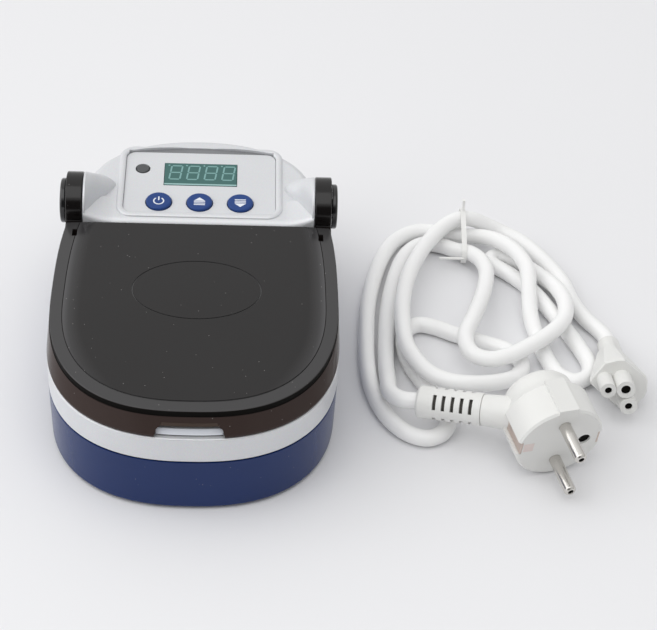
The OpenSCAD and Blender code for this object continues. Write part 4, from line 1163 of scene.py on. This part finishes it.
@dataclass
class Heater:
    """Wax tray and the stack that warms it."""

    shop: Workshop
    top: float = 41.5
    floor: float = 26.5
    well_edge: float = 3.0
    well_r: float = 11.5
    well_pitch: float = 27.0

    def build(self) -> None:
        """Makes and dresses the tray, its seal and the pieces under it."""
        self.tray()
        self.shop.copies(
            ("tray_seal", SEAL_RED, 0.0), ("heater_plate", MICA, 0.0), ("insulation_pad", FELT, 0.0),
            ("clamp_plate", ZINC, 0.0), ("clamp_screws", STEEL, 0.15), ("temperature_sensor", STEEL, 0.2),
            ("thermal_cutout", PART_BLACK, 0.3),
        )

    def tray(self) -> None:
        """Block with a rounded flange, one wide well and three round wells with rounded floors."""
        flange = pillow(lambda i: OUT.tray(3 - i), self.top - 1.4, self.top, 0.2, 0.5)
        lines = [lambda i: OUT.egg(36 - i, 36 - i, 1.5 - i * 0.3, 2.4, 8, -30)]
        lines += [disc(self.well_r, k * self.well_pitch, -7) for k in (-1, 0, 1)]
        steps = [(Step.JOIN, flange)]
        steps += [(Step.CUT, pillow(line, self.floor, self.top + 5, self.well_edge)) for line in lines]
        for radius, x, y, high in ((1.25, -27, -23, 32), (1.25, 27, -23, 32), (1.6, 0, -24.5, 34)):
            steps.append((Step.CUT, prism(circle(radius, 24, x, y), 23, high)))
        mesh = carve("coated_tray", prism(OUT.tray(0), 24, self.top), steps)
        self.shop.finish(mesh, "coated_tray", TRAY_COATING, "housing", "wax_tray")


@dataclass
class Inside:
    """Power board, its parts, the flat cable, and the inlet and switch in the back wall."""

    shop: Workshop

    def build(self) -> None:
        """Dresses the pieces in the rear of the tub."""
        self.shop.copies(
            ("power_board", BOARD_GREEN, 0.0), ("transformer", WINDING, 0.3), ("relay", PART_BLUE, 0.4),
            ("fuse", GLASS_TUBE, 0.2), ("power_screws", ZINC, 0.15), ("ribbon_cable", GREY_FLAT, 0.1),
            ("power_inlet", PART_BLACK, 0.3), ("inlet_pins", BRASS, 0.2), ("switch_frame", PART_BLACK, 0.35),
            ("switch_rocker", GLOSS_BLACK, 0.3),
        )


@dataclass
class Lead:
    """Mains lead: coiled cord, tie, plug and connector."""

    shop: Workshop
    cord_r: float = 3.4
    steps: int = 6
    plug: tuple[Point, Point] = ((141.6, -63, 18.1), (6.5, 2.8, 16.5))
    boot: tuple[Point, Point] = ((88.5, -37.5, 15), (0, 97, 163))
    socket: tuple[Point, Point] = ((171.8, 10.25, 4.9), (75, 0, 0))
    neck: tuple[tuple[float, float], ...] = ((7.1, -42), (6.8, -36), (6.3, -28), (6.0, -26.1))
    pad: tuple[float, ...] = (-15.2, -11.0, -0.1, 0.4, -2.2, 2.2)
    tube_end: float = 43.4
    bores: tuple[Point, ...] = ((-7, 1, 1.42), (0, 1.5, 1.92), (1.8, -5.9, 1.47))
    route: tuple[Point, ...] = (
        (88.2, -37.4, 15), (82, -35.5, 14.2), (78, -29, 12), (77.8, -18, 8.6), (78, -5, 4.8),
        (78.6, 11, 3.6), (80, 29, 3.6), (82.8, 47, 3.6), (87, 63, 3.6), (92, 73, 3.6), (98.5, 78, 3.6),
        (105.5, 76.8, 4), (112, 72.6, 5), (118.5, 68.4, 6.6), (122.8, 60.9, 7.6), (123.8, 52, 7.6),
        (121, 38, 8), (115.5, 20, 11), (111, 7, 11.6), (112.5, -3.5, 11.6), (119.5, -7.5, 11.6),
        (128, -5, 11.6), (138, 2, 11.6), (147, 10, 11.6), (153.5, 19.5, 11.2), (155.3, 31, 10.4),
        (153.2, 43, 8.6), (148.5, 54.5, 5.2), (143.6, 62.4, 3.8), (138.9, 66.9, 3.6), (133.8, 69.8, 3.6),
        (129.9, 70.5, 3.6), (127.4, 68.3, 3.6), (128.3, 64.4, 3.6), (134.6, 58.2, 3.6), (140.6, 51.2, 3.6),
        (145.8, 43, 3.6), (150.5, 32.5, 3.6), (155.5, 21, 3.6), (160, 9, 3.6), (162.6, -1, 3.6),
        (161, -8, 3.6), (155.6, -11.2, 3.6), (150, -8.4, 3.6), (146.6, -1.8, 3.6), (144.2, 7, 3.6),
        (142.5, 17, 3.6), (141, 28, 5), (141, 40, 9), (141, 51, 12.2), (137.3, 61.5, 12.8), (131, 71, 11.5),
        (124.8, 78.5, 8), (118.5, 82.2, 5.4), (112, 84, 4.8), (105, 86.5, 3.8), (96, 87, 3.6),
        (88, 82, 3.6), (81.8, 73, 3.6), (76.4, 57, 3.6), (72.4, 37, 3.6), (70.6, 14, 3.6), (70.4, -5, 3.6),
        (72.2, -20, 3.6), (77, -34, 3.6), (84.5, -43.5, 3.6), (93, -46.5, 3.6), (99.8, -42, 3.6),
        (101.5, -33, 3.6), (97, -22, 3.6), (91.5, -11, 3.6), (87.2, 0, 3.6), (86, 10.5, 3.6),
        (87.6, 18.5, 3.6), (93, 22.6, 3.6), (100, 21, 3.6), (108.5, 16.6, 3.6), (119, 12, 3.6),
        (129.5, 7, 3.6), (134.5, -1.5, 3.6), (130.5, -10.5, 4.5), (121, -17.8, 8), (110.5, -22, 11),
        (101, -21.4, 12), (93, -15.2, 12), (86.6, -1, 11.5), (85.4, 14, 11.2), (86.1, 29, 11.1),
        (89.3, 46, 11.1), (95.3, 62, 11.1), (102.6, 75, 11.5), (108.5, 82, 12), (113.5, 85.2, 12.4),
        (119.5, 86.6, 11.7), (126.5, 87.6, 7.8), (134, 86.8, 4.4), (142.5, 81, 3.6), (150, 69.5, 3.6),
        (157, 54.5, 3.6), (160.2, 40, 3.6), (164.2, 29.5, 3.6), (168.9, 22, 3.7), (171.4, 16.8, 3.9),
        (171.8, 10.45, 4.9),
    )

    def cord(self) -> bpy.types.Object:
        """The cord as one open curve with a round section.

        Returns:
            The cord.
        """
        points = through(np.array(self.route), self.steps) * MM
        data = bpy.data.curves.new("white_cord", "CURVE")
        data.dimensions = "3D"
        data.bevel_depth = self.cord_r * MM
        data.bevel_resolution = 7
        data.use_fill_caps = True
        spline = data.splines.new("POLY")
        spline.points.add(len(points) - 1)
        spline.points.foreach_set("co", np.column_stack([points, np.ones(len(points))]).ravel())
        data.materials.append(WHITE_PVC.material())
        piece = bpy.data.objects.new("white_cord", data)
        bpy.context.scene.collection.objects.link(piece)
        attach(piece, "housing")
        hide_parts("power_cord")
        length = float(np.linalg.norm(np.diff(points, axis=0), axis=1).sum())
        LOG.info("white_cord: %.3f m long", length)
        return piece

    def plug_details(self) -> list[bpy.types.Object]:
        """A dark cylinder of painted shade behind the boot's slits, the plug's neck, dark discs of painted shade
        in holes and dimples, and the pad by the left clip.

        Returns:
            The pieces.
        """
        plug, boot, socket = (placed(*where) for where in (self.plug, self.boot, self.socket))
        # A dark cylinder inside the boot, seen only through its slits: painted shade
        slit_shade = prism(circle(5.2, 48), -25, -7).moved(boot)
        neck = loft(*(level(circle(r), z) for r, z in self.neck))
        made = [
            self.shop.shape(slit_shade, "boot_slit_shade", SLIT_SHADE),
            self.shop.shape(neck.moved(boot), "plug_neck", WHITE_MOULD),
        ]
        # Dark discs at the bottoms of the earth hole, dimples and connector bores: painted shade
        inward = Matrix.Rotation(-math.pi / 2, 4, "X")
        discs = [
            (name, r, 0.6, plug @ Matrix.Translation(spot) @ inward) for name, r, spot in (
                ("earth_hole_shade", 2.55, (10.2, 0.9, 0)), ("dimple_low_shade", 1.05, (0, -16.7, -9.5)),
                ("dimple_high_shade", 1.05, (0, -16.7, 9.5)),
            )
        ]
        for k, (x, y, r) in enumerate(self.bores):
            discs.append((f"bore_{k}", r, 0.4, socket @ Matrix.Translation((x, y, self.tube_end - 1.2))))
        for name, r, thick, place in discs:
            made.append(self.shop.shape(prism(circle(r, 32), 0, thick).moved(place), name, SHADE_BLACK))
        made.append(self.shop.shape(block(*self.pad).moved(plug), "earth_pad", PAD_PINK, bevel=0.08))
        return made

    def build(self) -> None:
        cord = self.cord()
        ends = self.shop.copies(
            ("cord_tie", CLEAR_TIE, 0.0), ("plug_body", WHITE_MOULD, 0.5), ("plug_boot", WHITE_MOULD, 0.3),
            ("plug_pins", STEEL, 0.2), ("plug_earth_clips", CLIP_METAL, 0.15),
            # The connector's contacts are black: painted shade in its bores
            ("connector_body", WHITE_MOULD, 0.5), ("connector_contacts", SHADE_BLACK, 0.1),
        )
        ends += self.plug_details()


# ---------------------------------------------------------------- studio


@dataclass(frozen=True)
class Studio:
    """Camera at the photograph's angle, soft light and a plain pale floor."""

    eye: Point = (0.01707, -0.60615, 0.53648)
    pitch: float = 40.0
    yaw: float = 3.43
    roll: float = 3.43
    focal_px: float = 1960.0
    image_px: float = 657.0
    sensor_mm: float = 36.0
    sky: tuple[float, float] = (0.62, 0.85)
    sides: tuple[float, float] = (1.4, 0.88)
    front: float = 0.1
    aim: Point = (0.05, 0.0, 0.02)
    lamps: tuple[tuple[str, Point, float, float], ...] = (
        ("key", (-1.2, -0.2, 0.8), 1.4, 6.5), ("top", (0.0, -0.5, 1.5), 1.3, 4.5),
    )
    floor_half: float = 6.0

    def build(self) -> None:
        """Makes the camera, the world, the lamps and the floor."""
        self.camera()
        self.world()
        for lamp in self.lamps:
            self.lamp(*lamp)
        self.floor()
        bpy.context.scene.view_settings.view_transform = "Standard"

    def camera(self) -> None:
        """A perspective camera turned by pitch, yaw and roll."""
        data = bpy.data.cameras.new("camera")
        data.sensor_width = self.sensor_mm
        data.lens = self.sensor_mm * self.focal_px / self.image_px
        data.clip_start, data.clip_end = 0.02, 50
        e, psi, rho = (math.radians(a) for a in (self.pitch, self.yaw, self.roll))
        ahead = Vector((math.sin(psi) * math.cos(e), math.cos(psi) * math.cos(e), -math.sin(e)))
        right = Vector((math.cos(psi), -math.sin(psi), 0))
        up = right.cross(ahead)
        c, s = math.cos(rho), math.sin(rho)
        right, up = c * right + s * up, c * up - s * right
        turn = Matrix((right, up, -ahead)).transposed().to_4x4()
        camera = bpy.data.objects.new("camera", data)
        bpy.context.scene.collection.objects.link(camera)
        camera.matrix_world = Matrix.Translation(self.eye) @ turn
        bpy.context.scene.camera = camera

    def world(self) -> None:
        """A bright room that is dark low in front, on the camera's side, and brighter on the left."""
        world = bpy.data.worlds.new("studio")
        bpy.context.scene.world = world
        world.use_nodes = True
        wires = Wiring(world.node_tree)
        place = wires.add("TexCoord", {}).outputs["Generated"]

        def along(way: Point, start: float, end: float, low: float, high: float) -> Socket:
            """Makes a smooth change of brightness along a direction."""
            dot = wires.add("VectorMath", {0: place, 1: way}, operation="DOT_PRODUCT").outputs["Value"]
            return wires.span(dot, start, end, low, high, interpolation_type="SMOOTHSTEP")

        def product(*levels: Socket) -> Socket:
            """Multiplies levels of brightness."""
            whole = levels[0]
            for other in levels[1:]:
                whole = wires.add("Math", {0: whole, 1: other}, operation="MULTIPLY").outputs[0]
            return whole

        low_front = along((0, 0.75, 1), -0.12, 0.15, 1, 0)
        middle = [along((side, 0, 0), 0.3, 0.6, 1, 0) for side in (1, -1)]
        lit = wires.span(product(low_front, *middle), 0, 1, 1, self.front)
        sky = along((0, 0, 1), 0, 1, *self.sky)
        sides = along((1, 0, 0), -0.9, 0.6, *self.sides)
        ins = {"Color": (1, 1, 1, 1), "Strength": product(lit, sky, sides)}
        wires.fill(world.node_tree.nodes["Background"], ins)

    def lamp(self, name: str, spot: Point, size: float, power: float) -> None:
        """A square softbox aimed at the middle of the set.

        Args:
            name: The lamp's name.
            spot: Its place in metres.
            size: Its side in metres.
            power: Its power in watts.
        """
        data = bpy.data.lights.new(name, "AREA")
        data.size = size
        data.energy = power
        lamp = bpy.data.objects.new(name, data)
        bpy.context.scene.collection.objects.link(lamp)
        lamp.location = spot
        lamp.rotation_euler = (Vector(self.aim) - Vector(spot)).to_track_quat("-Z", "Y").to_euler()

    def floor(self) -> None:
        """A wide pale sheet under the object."""
        half = self.floor_half / MM
        form = Form(level(rectangle(half, -half, half), 0), [[0, 1, 2, 3]])
        floor = bpy.data.objects.new("floor", form.mesh("floor"))
        bpy.context.scene.collection.objects.link(floor)
        floor.data.materials.append(FLOOR_PAPER.material())


def main() -> None:
    """Builds the scene in order: frame, studio, lead, case, lid, panel, heater and inside."""
    logging.basicConfig(level=logging.INFO, format="%(message)s")
    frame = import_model()
    Studio().build()
    shop = Workshop(frame)
    for part in (Lead(shop), Case(shop), Lid(shop), Panel(shop), Heater(shop), Inside(shop)):
        part.build()
        LOG.info("built %s", type(part).__name__)
    bpy.context.view_layer.update()


if __name__ == "__main__":
    main()
